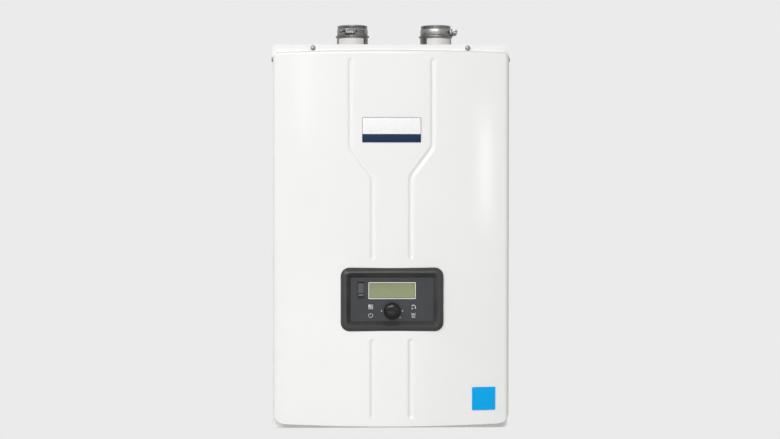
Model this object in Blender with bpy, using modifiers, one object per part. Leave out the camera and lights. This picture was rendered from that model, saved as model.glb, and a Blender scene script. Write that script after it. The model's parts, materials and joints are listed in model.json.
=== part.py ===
"""Wall-hung tankless water heater, built as an assembly of separate pieces.

Metres, +Z up. The front faces -Y, +X is to the right as seen from the front.
The origin is the centre of the back panel's rear face, which lies on the wall.
"""

import math

import bmesh
import bpy
from mathutils import Matrix, Vector

# Case
CASE_WIDTH = 0.470
CASE_HEIGHT = 0.766
CASE_DEPTH = 0.278
CASE_CORNER = 0.007
SHEET = 0.0012
GAP = 0.0003
HALF_W = CASE_WIDTH / 2
HALF_H = CASE_HEIGHT / 2
LIP_WIDTH = 0.020
WALL_TAB_HEIGHT = 0.016
WALL_TAB_WIDTH = 0.260

# Front cover
COVER_HALF_W = 0.234
COVER_TOP = 0.3658
COVER_ARCH = 0.003
COVER_BOTTOM = -0.3726
COVER_CORNER = 0.011
COVER_BACK = CASE_DEPTH + GAP
COVER_FRONT = 0.328
COVER_SAG = 0.020
COVER_EDGE = 0.011
COVER_RIM_HALF_H = 0.3822
BOW_STEPS = 24
GROOVE_HALF_WIDTH = 0.0069
GROOVE_DEPTH = 0.0022
GROOVE_UPPER_X = 0.081
GROOVE_LOWER_X = 0.0376

# Control unit
CONTROL_Z = -0.1213
BEZEL_WIDTH = 0.2026
BEZEL_HEIGHT = 0.1280
BEZEL_CORNER = 0.0175
BEZEL_RING = 0.0116
BEZEL_FRONT = 0.333
BEZEL_SLOPE = 0.0036
RECESS_SLOPE = 0.0080
RECESS_LIP = 0.0008
NECK_WALL = 0.0043
PANEL_FRONT = 0.324
PANEL_THICKNESS = 0.002
DISPLAY_SIZE = (0.0933, 0.0330)
DISPLAY_Z = -0.1053
ROCKER_AT = (-0.0613, -0.1044)
ROCKER_SIZE = (0.0118, 0.0305)
ROCKER_TILT = math.radians(8)
DIAL_Z = -0.1452
DIAL_RADIUS = 0.0166
DIAL_HEIGHT = 0.0130
DIAL_SCALLOPS = 12
KEY_SIZE = 0.0105
KEY_TRAVEL = 0.0008
KEYS = {
    "menu_key": (-0.0422, -0.1372),
    "power_key": (-0.0422, -0.1539),
    "water_key": (0.0422, -0.1372),
    "heat_key": (0.0422, -0.1539),
}

# Vent collars
COLLAR_Y = -0.105
EXHAUST_X = -0.0665
INTAKE_X = 0.110
VENT_BORE = 0.0608 / 2
COLLAR_STEPS = 28
SLEEVE_RADIUS = 0.0328
FLANGE_RADIUS = 0.0356
RING_RADIUS = 0.0312
SPIGOT_RADIUS = 0.0320
COLLAR_SEAT_RADIUS = 0.041
SLEEVE_TOP = 0.4137
FLANGE_TOP = 0.4169
COLLAR_TOP = 0.4378
SPIGOT_BOTTOM = 0.368
BAND_WIDTH = 0.0127
BAND_THICKNESS = 0.0008
BAND_Z = 0.4242
CLAMP_SCREW_RADIUS = 0.0030
CLAMP_HEX = 0.0080

# Fasteners
COVER_SCREW_X = 0.1545
COVER_SCREW_Z = 0.3756
SIDE_SCREW_Z = 0.3515
SIDE_SCREW_Y = -0.2895
SCREW_HEAD_RADIUS = 0.0050
SCREW_HEAD_HEIGHT = 0.0028
SCREW_SHANK_RADIUS = 0.0022

# Exchanger stack, from the top down
STACK_WALL = 0.002
PRIMARY_FINS = 12
STACK_X = (-0.150, 0.050)
STACK_Y = (-0.185, -0.040)
SECONDARY_Z = (0.246, 0.330)
PRIMARY_Z = (0.146, SECONDARY_Z[0] - GAP)
BURNER_Z = (0.050, PRIMARY_Z[0] - GAP)

# Combustion fan
FAN_X = -0.050
FAN_Z = -0.060
FAN_FRONT = -0.152
FAN_BACK = -0.094
FAN_WALL = 0.002
IMPELLER_RADIUS = 0.058
IMPELLER_BLADES = 14
FAN_EYE = 0.040
FAN_FLANGE = 0.0882

# Water and gas
PIPE_RADIUS = 0.0095
NIPPLE_BORE = 0.0095
NIPPLE_BOTTOM = -0.405
NIPPLE_RADIUS = 0.0133
NIPPLE_TOP = -0.355
DRAIN_RADIUS = 0.0095
DRAIN_BORE = 0.0065
COLD_X = 0.130
HOT_X = 0.085
GAS_X = -0.050
DRAIN_X = -0.190
GLAND_X = 0.205
CONNECTION_Y = -0.110

COLOURS = {
    "white_enamel": ((0.88, 0.88, 0.87), 0.32, 0.0),
    "zinc_sheet": ((0.62, 0.64, 0.66), 0.38, 0.9),
    "collar_steel": ((0.25, 0.25, 0.26), 0.35, 0.8),
    "clamp_steel": ((0.75, 0.75, 0.76), 0.25, 1.0),
    "stainless": ((0.58, 0.58, 0.59), 0.30, 1.0),
    "copper": ((0.72, 0.38, 0.24), 0.30, 1.0),
    "brass": ((0.72, 0.56, 0.28), 0.30, 1.0),
    "cast_alloy": ((0.50, 0.51, 0.53), 0.45, 0.8),
    "grey_plastic": ((0.085, 0.083, 0.082), 0.45, 0.0),
    "panel_plastic": ((0.060, 0.063, 0.072), 0.30, 0.0),
    "black_plastic": ((0.015, 0.015, 0.016), 0.40, 0.0),
    "display_green": ((0.28, 0.32, 0.17), 0.15, 0.0),
    "board_green": ((0.03, 0.20, 0.09), 0.50, 0.0),
    "rubber": ((0.03, 0.03, 0.03), 0.80, 0.0),
    "ceramic": ((0.85, 0.84, 0.80), 0.35, 0.0),
    "glass": ((0.55, 0.60, 0.60), 0.05, 0.0),
    "foam": ((0.10, 0.10, 0.10), 0.95, 0.0),
    "hose_white": ((0.80, 0.80, 0.78), 0.50, 0.0),
}


# Scene and helpers

def clear_scene():
    for old in list(bpy.data.objects):
        bpy.data.objects.remove(old, do_unlink=True)


def new_collection(name):
    collection = bpy.data.collections.new(name)
    bpy.context.scene.collection.children.link(collection)
    return collection


def material(name):
    found = bpy.data.materials.get(name)
    if found:
        return found
    colour, roughness, metallic = COLOURS[name]
    made = bpy.data.materials.new(name)
    made.use_nodes = True
    shader = made.node_tree.nodes["Principled BSDF"]
    shader.inputs["Base Color"].default_value = (*colour, 1.0)
    shader.inputs["Roughness"].default_value = roughness
    shader.inputs["Metallic"].default_value = metallic
    return made


def keep(piece, name, finish):
    """Name a piece, give it its finish and put it with the heater's parts."""
    piece.name = name
    piece.data.name = name
    piece.data.materials.clear()
    piece.data.materials.append(material(finish))
    for holder in list(piece.users_collection):
        holder.objects.unlink(piece)
    PARTS.objects.link(piece)
    return piece


def as_cutter(piece, name):
    """Put a piece with the cutters, where it shapes others and isn't a part."""
    piece.name = name
    piece.hide_render = True
    piece.display_type = "WIRE"
    for holder in list(piece.users_collection):
        holder.objects.unlink(piece)
    CUTTERS.objects.link(piece)
    return piece


def baked(piece):
    """Swap a curve or a piece with modifiers for its welded mesh."""
    bpy.context.view_layer.update()
    graph = bpy.context.evaluated_depsgraph_get()
    mesh = bpy.data.meshes.new_from_object(piece.evaluated_get(graph))
    shape = bmesh.new()
    shape.from_mesh(mesh)
    bmesh.ops.remove_doubles(shape, verts=shape.verts, dist=0.000001)
    shape.to_mesh(mesh)
    shape.free()
    made = bpy.data.objects.new(piece.name + "_mesh", mesh)
    made.matrix_world = piece.matrix_world.copy()
    PARTS.objects.link(made)
    bpy.data.objects.remove(piece, do_unlink=True)
    return made


def smooth(piece, angle=35):
    piece.data.shade_smooth()
    piece.data.set_sharp_from_angle(angle=math.radians(angle))
    return piece


def block(low, high):
    """A box between two corners, as a scaled primitive with its scale applied."""
    centre = [(a + b) / 2 for a, b in zip(low, high)]
    bpy.ops.mesh.primitive_cube_add(size=1, location=centre)
    made = bpy.context.object
    made.scale = [abs(b - a) for a, b in zip(low, high)]
    bpy.ops.object.transform_apply(location=False, rotation=False, scale=True)
    return made


def rod(start, end, radius, sides=16):
    """A round bar from one point to another."""
    start, end = Vector(start), Vector(end)
    along = end - start
    bpy.ops.mesh.primitive_cylinder_add(vertices=sides, radius=radius, depth=along.length,
                                        location=(start + end) / 2)
    made = bpy.context.object
    made.rotation_euler = along.to_track_quat("Z", "Y").to_euler()
    return smooth(made)


def rounded_box(low, high, radius, segments=2):
    made = block(low, high)
    bevel = made.modifiers.new("edges", "BEVEL")
    bevel.width = radius
    bevel.segments = segments
    return made


def rounded_rect(width, height, radius, centre=(0, 0), steps=5):
    """Outline of a rectangle with round corners, counter-clockwise."""
    points = []
    corners = ((1, 1, 0), (-1, 1, 90), (-1, -1, 180), (1, -1, 270))
    for sx, sy, start in corners:
        cx = centre[0] + sx * (width / 2 - radius)
        cy = centre[1] + sy * (height / 2 - radius)
        for i in range(steps + 1):
            angle = math.radians(start + 90 * i / steps)
            points.append((cx + radius * math.cos(angle), cy + radius * math.sin(angle)))
    return points


def circle(radius, centre=(0, 0), steps=20):
    return [(centre[0] + radius * math.cos(2 * math.pi * i / steps),
             centre[1] + radius * math.sin(2 * math.pi * i / steps)) for i in range(steps)]


def extruded(outlines, low, high, plane):
    """A flat outline, with any inner outlines as holes, drawn out between two depths.

    plane XY is drawn out along Z, XZ along Y and YZ along X.
    """
    curve = bpy.data.curves.new("outline", "CURVE")
    curve.dimensions = "2D"
    curve.fill_mode = "BOTH"
    curve.extrude = abs(high - low) / 2
    for outline in outlines:
        spline = curve.splines.new("POLY")
        spline.points.add(len(outline) - 1)
        for point, (u, v) in zip(spline.points, outline):
            point.co = (u, v, 0, 1)
        spline.use_cyclic_u = True
    drawn = bpy.data.objects.new("outline", curve)
    bpy.context.scene.collection.objects.link(drawn)
    middle = (low + high) / 2
    if plane == "XY":
        drawn.location = (0, 0, middle)
    elif plane == "XZ":
        drawn.rotation_euler = (math.radians(90), 0, 0)
        drawn.location = (0, middle, 0)
    else:
        drawn.rotation_euler = (math.radians(90), 0, math.radians(90))
        drawn.location = (middle, 0, 0)
    return baked(drawn)


def lofted(rings):
    """A solid through a row of XZ outlines with equal counts, each at its own depth."""
    count = len(rings[0][0])
    points = [(x, depth, z) for outline, depth in rings for x, z in outline]
    faces = [tuple(range(count)), tuple(range(len(points) - count, len(points)))]
    for start in range(0, len(points) - count, count):
        for i in range(count):
            j = (i + 1) % count
            faces.append((start + i, start + j, start + count + j, start + count + i))
    mesh = bpy.data.meshes.new("loft")
    mesh.from_pydata(points, [], faces)
    shape = bmesh.new()
    shape.from_mesh(mesh)
    bmesh.ops.recalc_face_normals(shape, faces=shape.faces)
    shape.to_mesh(mesh)
    shape.free()
    made = bpy.data.objects.new("loft", mesh)
    bpy.context.scene.collection.objects.link(made)
    return made


def tube(points, radius, sides_step=4, radii=None):
    """A round tube along a list of points, as a POLY curve with filled caps."""
    curve = bpy.data.curves.new("tube", "CURVE")
    curve.dimensions = "3D"
    curve.bevel_depth = radius
    curve.bevel_resolution = sides_step
    curve.use_fill_caps = True
    spline = curve.splines.new("POLY")
    spline.points.add(len(points) - 1)
    for i, (point, at) in enumerate(zip(spline.points, points)):
        point.co = (*at, 1)
        point.radius = radii[i] if radii else 1.0
    made = bpy.data.objects.new("tube", curve)
    bpy.context.scene.collection.objects.link(made)
    return made


def bent(corners, bend, steps=4):
    """Points of a route whose inner corners are arcs of one bend radius."""
    corners = [Vector(corner) for corner in corners]
    points = [corners[0]]
    for before, corner, after in zip(corners, corners[1:], corners[2:]):
        into = (before - corner).normalized()
        out = (after - corner).normalized()
        half = into.angle(out) / 2
        reach = bend / math.tan(half)
        centre = corner + (into + out).normalized() * bend / math.sin(half)
        start = corner + into * reach - centre
        end = corner + out * reach - centre
        axis = start.cross(end).normalized()
        sweep = start.angle(end)
        for i in range(steps + 1):
            points.append(centre + Matrix.Rotation(sweep * i / steps, 3, axis) @ start)
    points.append(corners[-1])
    return points


def turned(profile, steps=28):
    """A profile of (radius, height) points turned about Z, as a Screw modifier.

    It runs down the outer side. One that starts on the axis also ends there;
    any other is a ring, whose profile closes on itself.
    """
    mesh = bpy.data.meshes.new("profile")
    edges = [(i, i + 1) for i in range(len(profile) - 1)]
    if profile[0][0] > 0:
        edges.append((len(profile) - 1, 0))
    mesh.from_pydata([(r, 0, z) for r, z in profile], edges, [])
    made = bpy.data.objects.new("profile", mesh)
    bpy.context.scene.collection.objects.link(made)
    screw = made.modifiers.new("turn", "SCREW")
    screw.steps = steps
    screw.render_steps = steps
    screw.use_merge_vertices = True
    screw.merge_threshold = 0.00001
    screw.use_smooth_shade = True
    return made


def change(piece, other, operation):
    step = piece.modifiers.new(operation.lower(), "BOOLEAN")
    step.operation = operation
    step.solver = "EXACT"
    step.object = other
    return piece


def cut(piece, cutter, name):
    return change(piece, as_cutter(cutter, name), "DIFFERENCE")


def fuse(piece, addition, name):
    return change(piece, as_cutter(addition, name), "UNION")


def pivot(name, at):
    """An empty on a joint's axis, which carries the moving pieces."""
    made = bpy.data.objects.new(name, None)
    made.location = at
    made.empty_display_size = 0.02
    PARTS.objects.link(made)
    return made


def hang_on(piece, holder):
    """Parent a piece to an empty without moving it."""
    bpy.context.view_layer.update()
    piece.parent = holder
    piece.matrix_parent_inverse = holder.matrix_world.inverted()
    return piece


# Case

def slot_outline(x, z, width, height):
    return rounded_rect(width, height, min(width, height) / 2, (x, z), 2)


def case_outline(inset=0.0):
    return rounded_rect(CASE_WIDTH - 2 * inset, CASE_HEIGHT - 2 * inset, CASE_CORNER - inset, steps=4)


def wall_tab_outline():
    """The back panel's outline with its hanging tabs above and below."""
    tab = WALL_TAB_WIDTH / 2
    reach = HALF_H + WALL_TAB_HEIGHT
    slope = 0.012
    outline = case_outline()
    base = HALF_H + 0.0005
    upper = [(tab + slope, base), (tab, reach), (-tab, reach), (-tab - slope, base)]
    lower = [(-x, -z) for x, z in upper]
    return outline[:5] + upper + outline[5:15] + lower + outline[15:]


def make_back_panel():
    hole_z = HALF_H + WALL_TAB_HEIGHT / 2
    holes = []
    for side in (1, -1):
        for x in (-0.105, 0, 0.105):
            holes.append(slot_outline(x, side * hole_z, 0.018, 0.0065))
    panel = extruded([wall_tab_outline(), *holes], -SHEET, 0, "XZ")
    for i, z in enumerate((-0.24, 0.0, 0.12)):
        rib = rounded_box((-0.20, -0.0045, z - 0.006), (0.20, -SHEET / 2, z + 0.006), 0.0015, 1)
        fuse(panel, rib, f"back_rib_{i}")
    return keep(panel, "back_panel", "zinc_sheet")


def make_side_panel(side):
    """A side sheet that turns over at the top and bottom corners."""
    outer = case_outline()
    inner = case_outline(SHEET)
    run = slice(15, 25)
    right_outer = (outer + outer)[run]
    right_inner = (inner + inner)[run]
    strip = [(side * x, z) for x, z in right_outer + right_inner[::-1]]
    panel = extruded([strip], -CASE_DEPTH + SHEET + GAP, -SHEET - GAP, "XZ")
    name = "right_side_panel" if side > 0 else "left_side_panel"
    return keep(panel, name, "white_enamel")


def plate_between_corners(z_low, z_high, holes):
    reach = HALF_W - CASE_CORNER - GAP
    y_front = -CASE_DEPTH + SHEET + GAP
    outline = [(-reach, y_front), (reach, y_front), (reach, -SHEET - GAP), (-reach, -SHEET - GAP)]
    return extruded([outline, *holes], z_low, z_high, "XY")


def make_top_plate():
    holes = [circle(SPIGOT_RADIUS + 2 * GAP, (x, COLLAR_Y), COLLAR_STEPS) for x in (EXHAUST_X, INTAKE_X)]
    return keep(plate_between_corners(HALF_H - SHEET, HALF_H, holes), "top_plate", "white_enamel")


def make_bottom_plate():
    holes = [circle(NIPPLE_RADIUS + GAP, (x, CONNECTION_Y), 16) for x in (COLD_X, HOT_X, GAS_X)]
    holes += [circle(DRAIN_RADIUS + GAP, (x, CONNECTION_Y), 16) for x in (DRAIN_X, GLAND_X)]
    return keep(plate_between_corners(-HALF_H, -HALF_H + SHEET, holes), "bottom_plate", "white_enamel")


def make_front_frame():
    """The folded front edge of the case, with a slotted tab for each side screw."""
    opening = rounded_rect(CASE_WIDTH - 2 * LIP_WIDTH, CASE_HEIGHT - 2 * LIP_WIDTH, 0.010, steps=3)
    holes = [circle(SCREW_SHANK_RADIUS + GAP, (side * COVER_SCREW_X, COVER_SCREW_Z), 12)
             for side in (1, -1)]
    frame = extruded([case_outline(), opening, *holes], -CASE_DEPTH, -CASE_DEPTH + SHEET, "XZ")
    tab_half = 0.007
    tab_x = COVER_HALF_W - SHEET - 0.0011
    tab_front = SIDE_SCREW_Y - 0.006
    for side, label in ((1, "right"), (-1, "left")):
        tab = block((side * (tab_x - SHEET), tab_front, SIDE_SCREW_Z - tab_half),
                    (side * tab_x, -CASE_DEPTH + SHEET / 2, SIDE_SCREW_Z + tab_half))
        fuse(frame, tab, f"frame_tab_{label}")
        slot = SCREW_SHANK_RADIUS + GAP
        notch = block((side * 0.200, tab_front - 0.01, SIDE_SCREW_Z - slot),
                      (side * 0.240, SIDE_SCREW_Y + slot, SIDE_SCREW_Z + slot))
        cut(frame, notch, f"frame_notch_{label}")
    return keep(frame, "front_frame", "white_enamel")


def make_cover_gasket():
    """Foam strip on the front frame, inside the cover's side walls."""
    strip = 0.006
    outer = rounded_rect(CASE_WIDTH - 0.016, 0.722, 0.008, (0, -0.004), 3)
    inner = rounded_rect(CASE_WIDTH - 0.016 - 2 * strip, 0.722 - 2 * strip, 0.004, (0, -0.004), 3)
    low = -CASE_DEPTH - GAP - 0.004
    gasket = extruded([outer, inner], low, -CASE_DEPTH - GAP, "XZ")
    return keep(gasket, "cover_gasket", "foam")


# Front cover

def bow_depth(x, offset=0.0):
    """Depth of the bowed front at x, as a circle's arc; offset moves it back."""
    radius = (COVER_HALF_W ** 2 + COVER_SAG ** 2) / (2 * COVER_SAG)
    centre = COVER_FRONT - radius
    return -(centre + math.sqrt((radius - offset) ** 2 - x ** 2))


def bow_outline(offset):
    """Plan outline of the space in front of the cover, its edges rounded."""
    wall = COVER_HALF_W - offset
    edge = COVER_EDGE - offset
    join = wall - edge
    slope = math.asin(join / ((COVER_HALF_W ** 2 + COVER_SAG ** 2) / (2 * COVER_SAG) - offset))
    centre_y = bow_depth(join, offset) + edge * math.cos(slope)
    centre_x = join - edge * (math.sin(slope) - 1) - edge
    points = [(wall + 0.010, centre_y), (wall, centre_y)]
    for i in range(1, 5):
        angle = math.radians(90) * i / 4
        points.append((centre_x + (wall - centre_x) * math.cos(angle), centre_y - edge * math.sin(angle)))
    reach = centre_x
    for i in range(1, BOW_STEPS):
        x = reach * math.cos(math.pi * i / BOW_STEPS)
        points.append((x, bow_depth(x, offset)))
    left = [(-x, y) for x, y in points[:6]]
    points += left[::-1]
    return points + [(-wall - 0.010, -0.360), (wall + 0.010, -0.360)]


def cover_face_outline(inset):
    """Front view of the raised part of the cover: round corners, arched top."""
    wall = COVER_HALF_W - inset
    radius = COVER_CORNER - inset
    top = COVER_TOP - inset
    bottom = COVER_BOTTOM + inset
    flat = wall - radius
    points = []
    for i in range(5):
        angle = math.radians(90 * i / 4)
        points.append((flat + radius * math.cos(angle), top - radius + radius * math.sin(angle)))
    for i in range(1, 12):
        x = flat * math.cos(math.pi * i / 12)
        points.append((x, top + COVER_ARCH * (1 - (x / flat) ** 2)))
    points += [(-x, z) for x, z in points[:5]][::-1]
    for sx, start in ((-1, 180), (1, 270)):
        for i in range(5):
            angle = math.radians(start + 90 * i / 4)
            points.append((sx * flat + radius * math.cos(angle), bottom + radius + radius * math.sin(angle)))
    return points


def groove_routes():
    """The four grooves' centre lines in front view, top to bottom."""
    upper = [(GROOVE_UPPER_X, 0.3484), (GROOVE_UPPER_X, 0.181)]
    upper += [(GROOVE_LOWER_X, 0.1235), (GROOVE_LOWER_X, -0.0318)]
    lower = [(GROOVE_LOWER_X, -0.2053), (GROOVE_LOWER_X, -0.3524)]
    routes = {}
    for side, label in ((1, "right"), (-1, "left")):
        routes[f"upper_{label}"] = [(side * x, z) for x, z in upper]
        routes[f"lower_{label}"] = [(side * x, z) for x, z in lower]
    return routes


def groove_former(route, thickness):
    """A round-ended tube in front of the cover, whose edge presses the groove.

    thickness is added to its radius, for the inner side of the sheet.
    """
    radius = (GROOVE_HALF_WIDTH ** 2 + GROOVE_DEPTH ** 2) / (2 * GROOVE_DEPTH)
    stand_off = radius - GROOVE_DEPTH
    full = radius + thickness
    flat = [Vector((x, 0, z)) for x, z in route]
    middle = bent(flat, 0.018, 3) if len(flat) > 2 else flat
    start = (middle[0] - middle[1]).normalized()
    end = (middle[-1] - middle[-2]).normalized()
    angles = [math.radians(a) for a in (76, 54, 27)]
    points = [middle[0] + start * full * math.sin(a) for a in angles]
    radii = [math.cos(a) for a in angles]
    points += middle
    radii += [1.0] * len(middle)
    points += [middle[-1] + end * full * math.sin(a) for a in angles[::-1]]
    radii += [math.cos(a) for a in angles[::-1]]
    placed = [(p.x, bow_depth(p.x) - stand_off, p.z) for p in points]
    return baked(tube(placed, full, 5, radii))


def window_outline(grow):
    width = BEZEL_WIDTH - 2 * BEZEL_RING + 2 * NECK_WALL + 2 * grow
    height = BEZEL_HEIGHT - 2 * BEZEL_RING + 2 * NECK_WALL + 2 * grow
    return rounded_rect(width, height, 0.0115 + grow, (0, CONTROL_Z))


def make_front_cover():
    cover = extruded([cover_face_outline(0)], -0.345, -COVER_BACK, "XZ")
    cut(cover, extruded([bow_outline(0)], -0.400, 0.400, "XY"), "cover_bow")
    rim = extruded([rounded_rect(CASE_WIDTH, 2 * COVER_RIM_HALF_H, CASE_CORNER, steps=4)],
                   -COVER_BACK - SHEET, -COVER_BACK, "XZ")
    fuse(cover, rim, "cover_rim")
    cavity = extruded([cover_face_outline(SHEET)], -0.345, -0.270, "XZ")
    cut(cavity, extruded([bow_outline(SHEET)], -0.400, 0.400, "XY"), "cover_bow_inside")
    for label, route in groove_routes().items():
        cut(cavity, groove_former(route, SHEET), f"groove_inside_{label}")
    cut(cover, cavity, "cover_inside")
    for label, route in groove_routes().items():
        cut(cover, groove_former(route, 0), f"groove_{label}")
    cut(cover, extruded([window_outline(GAP)], -0.350, -0.300, "XZ"), "cover_window")
    for side, label in ((1, "right"), (-1, "left")):
        x = side * COVER_SCREW_X
        hole = rod((x, -0.290, COVER_SCREW_Z), (x, -0.270, COVER_SCREW_Z), SCREW_SHANK_RADIUS + GAP, 12)
        cut(cover, hole, f"cover_hole_{label}")
        start = (side * 0.220, SIDE_SCREW_Y, SIDE_SCREW_Z)
        end = (side * 0.240, SIDE_SCREW_Y, SIDE_SCREW_Z)
        side_hole = rod(start, end, SCREW_SHANK_RADIUS + GAP, 12)
        cut(cover, side_hole, f"cover_side_hole_{label}")
    return smooth(keep(baked(cover), "front_cover", "white_enamel"), 25)


def bezel_outline(inset):
    """The bezel's front outline, drawn in by a distance; its corners tighten as it goes."""
    width, height = BEZEL_WIDTH - 2 * inset, BEZEL_HEIGHT - 2 * inset
    return rounded_rect(width, height, BEZEL_CORNER - 0.78 * inset, (0, CONTROL_Z))


def make_control_bezel():
    """Frame that slopes up to a crest, then down to the panel, and follows the bow behind."""
    edge = -BEZEL_FRONT + BEZEL_SLOPE
    steps = [(0, -0.3180), (0, edge + 0.0012), (0.0010, edge)]
    steps += [(0.0070, -BEZEL_FRONT + 0.0005), (0.0088, -BEZEL_FRONT)]
    bezel = lofted([(bezel_outline(inset), depth) for inset, depth in steps])
    reach = BEZEL_WIDTH / 2 + 0.005
    across = [reach * math.cos(math.pi * i / 12) for i in range(13)]
    arc = [(x, bow_depth(x) - GAP) for x in across]
    cut(bezel, extruded([arc + [(-reach, -0.300), (reach, -0.300)]], -0.2, -0.05, "XY"), "bezel_seat")
    fuse(bezel, extruded([window_outline(0)], edge, -0.314, "XZ"), "bezel_neck")
    seat = -PANEL_FRONT - GAP
    pocket = lofted([(bezel_outline(BEZEL_RING), seat), (bezel_outline(BEZEL_RING), -0.3000)])
    cut(bezel, pocket, "bezel_pocket")
    steps = [(-0.0026, -0.3360), (-0.0016, -BEZEL_FRONT), (0, -BEZEL_FRONT + 0.0012)]
    steps += [(RECESS_SLOPE, seat - RECESS_LIP), (RECESS_SLOPE, seat + 0.0010)]
    opening = lofted([(bezel_outline(BEZEL_RING + inset), depth) for inset, depth in steps])
    cut(bezel, opening, "bezel_opening")
    return smooth(keep(baked(bezel), "control_bezel", "grey_plastic"), 25)


def make_screw(name, at, direction, finish):
    """A pan-head screw whose head rests on the sheet at the given point."""
    recess = 0.0012
    profile = [(0.0, SCREW_HEAD_HEIGHT), (0.0028, SCREW_HEAD_HEIGHT), (0.0044, 0.0018),
               (SCREW_HEAD_RADIUS, 0.0), (SCREW_SHANK_RADIUS, 0.0), (SCREW_SHANK_RADIUS, -0.0050),
               (0.0, -0.0062)]
    screw = turned(profile, 12)
    for i, (a, b) in enumerate(((0.0022, 0.0005), (0.0005, 0.0022))):
        cross = block((-a, -b, SCREW_HEAD_HEIGHT - recess), (a, b, SCREW_HEAD_HEIGHT + 0.001))
        cut(screw, cross, f"{name}_recess_{i}")
    screw = baked(screw)
    screw.location = Vector(at) + Vector(direction) * GAP
    screw.rotation_euler = Vector(direction).to_track_quat("Z", "Y").to_euler()
    return keep(screw, name, finish)


def make_cover_screws():
    for side, label in ((1, "right"), (-1, "left")):
        face = -COVER_BACK - SHEET
        at = (side * COVER_SCREW_X, face, COVER_SCREW_Z)
        make_screw(f"{label}_cover_screw", at, (0, -1, 0), "zinc_sheet")
        at = (side * COVER_HALF_W, SIDE_SCREW_Y, SIDE_SCREW_Z)
        make_screw(f"{label}_side_screw", at, (side, 0, 0), "zinc_sheet")


# Control unit

def make_control_housing():
    """Open tub behind the panel, seated on the bracket."""
    half_w, half_h = 0.0875, 0.0495
    back = -CASE_DEPTH + SHEET
    front = -PANEL_FRONT + PANEL_THICKNESS + GAP
    outline = rounded_rect(2 * half_w, 2 * half_h, 0.007, (0, CONTROL_Z), 2)
    tub = extruded([outline], front, back, "XZ")
    inside = rounded_rect(2 * half_w - 0.005, 2 * half_h - 0.005, 0.005, (0, CONTROL_Z), 2)
    cut(tub, extruded([inside], front - 0.005, back - 0.0025, "XZ"), "housing_inside")
    return keep(tub, "control_housing", "black_plastic")


def make_control_panel():
    width = BEZEL_WIDTH - 2 * BEZEL_RING - 2 * GAP
    height = BEZEL_HEIGHT - 2 * BEZEL_RING - 2 * GAP
    outline = rounded_rect(width, height, 0.008, (0, CONTROL_Z), 3)
    holes = [rounded_rect(DISPLAY_SIZE[0] + 2 * GAP, DISPLAY_SIZE[1] + 2 * GAP, 0.0015, (0, DISPLAY_Z), 2)]
    holes.append(rounded_rect(ROCKER_SIZE[0] + 0.001, ROCKER_SIZE[1] + 0.0014, 0.001, ROCKER_AT, 2))
    holes.append(circle(0.0036, (0, DIAL_Z), 16))
    for at in KEYS.values():
        holes.append(rounded_rect(KEY_SIZE + 2 * GAP, KEY_SIZE + 2 * GAP, 0.002, at, 2))
    panel = extruded([outline, *holes], -PANEL_FRONT, -PANEL_FRONT + PANEL_THICKNESS, "XZ")
    return keep(panel, "control_panel", "panel_plastic")


def make_display_glass():
    outline = rounded_rect(DISPLAY_SIZE[0], DISPLAY_SIZE[1], 0.0012, (0, DISPLAY_Z), 2)
    glass = extruded([outline], -PANEL_FRONT + 0.0003, -PANEL_FRONT + 0.0045, "XZ")
    return keep(glass, "display_glass", "display_green")


def make_control_board():
    """Board with the dial's encoder, the switch bodies and the display's frame."""
    face = -0.3080
    board = block((-0.083, face, CONTROL_Z - 0.045), (0.083, face + 0.0016, CONTROL_Z + 0.045))
    seat = face + 0.0002
    screen = block((-0.046, -0.3190, DISPLAY_Z - 0.0165), (0.046, seat, DISPLAY_Z + 0.0165))
    fuse(board, screen, "display_frame")
    encoder = block((-0.0065, -0.3150, DIAL_Z - 0.0065), (0.0065, seat, DIAL_Z + 0.0065))
    fuse(board, encoder, "encoder_body")
    cut(board, rod((0, -0.330, DIAL_Z), (0, -0.3095, DIAL_Z), 0.0033, 12), "encoder_bore")
    for name, (x, z) in KEYS.items():
        switch = block((x - 0.003, -0.3175, z - 0.003), (x + 0.003, seat, z + 0.003))
        fuse(board, switch, f"{name}_switch")
    x, z = ROCKER_AT
    fuse(board, block((x - 0.0055, -0.3130, z - 0.013), (x + 0.0055, seat, z + 0.013)), "rocker_switch")
    for i, (x, z) in enumerate(((-0.078, -0.040), (0.078, -0.040), (-0.078, 0.040), (0.078, 0.040))):
        foot = -CASE_DEPTH + SHEET - 0.0025 - GAP
        post = rod((x, face + 0.001, CONTROL_Z + z), (x, foot, CONTROL_Z + z), 0.003, 8)
        fuse(board, post, f"board_post_{i}")
    return keep(board, "control_board", "board_green")


def make_dial():
    """Knob with finger scallops round its rim, on a stem that enters the encoder."""
    back = PANEL_FRONT + 0.0006
    front = back + DIAL_HEIGHT
    profile = [(0.0, front - 0.0012), (0.0105, front - 0.0006), (DIAL_RADIUS - 0.0022, front),
               (DIAL_RADIUS - 0.0006, front - 0.0010), (DIAL_RADIUS, front - 0.0032), (DIAL_RADIUS, back),
               (0.0030, back), (0.0030, back - 0.0110), (0.0, back - 0.0110)]
    dial = turned(profile, 24)
    dial.rotation_euler = (math.radians(90), 0, 0)
    for i in range(DIAL_SCALLOPS):
        angle = 2 * math.pi * i / DIAL_SCALLOPS
        reach = DIAL_RADIUS + 0.0018
        x, z = reach * math.cos(angle), reach * math.sin(angle)
        cut(dial, rod((x, -front - 0.002, z), (x, -back - 0.0025, z), 0.0027, 8), f"dial_scallop_{i}")
    dial = baked(dial)
    dial.location = (0, 0, DIAL_Z)
    smooth(keep(dial, "dial_knob", "black_plastic"))
    return hang_on(dial, pivot("dial_axis", (0, -PANEL_FRONT, DIAL_Z)))


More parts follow.
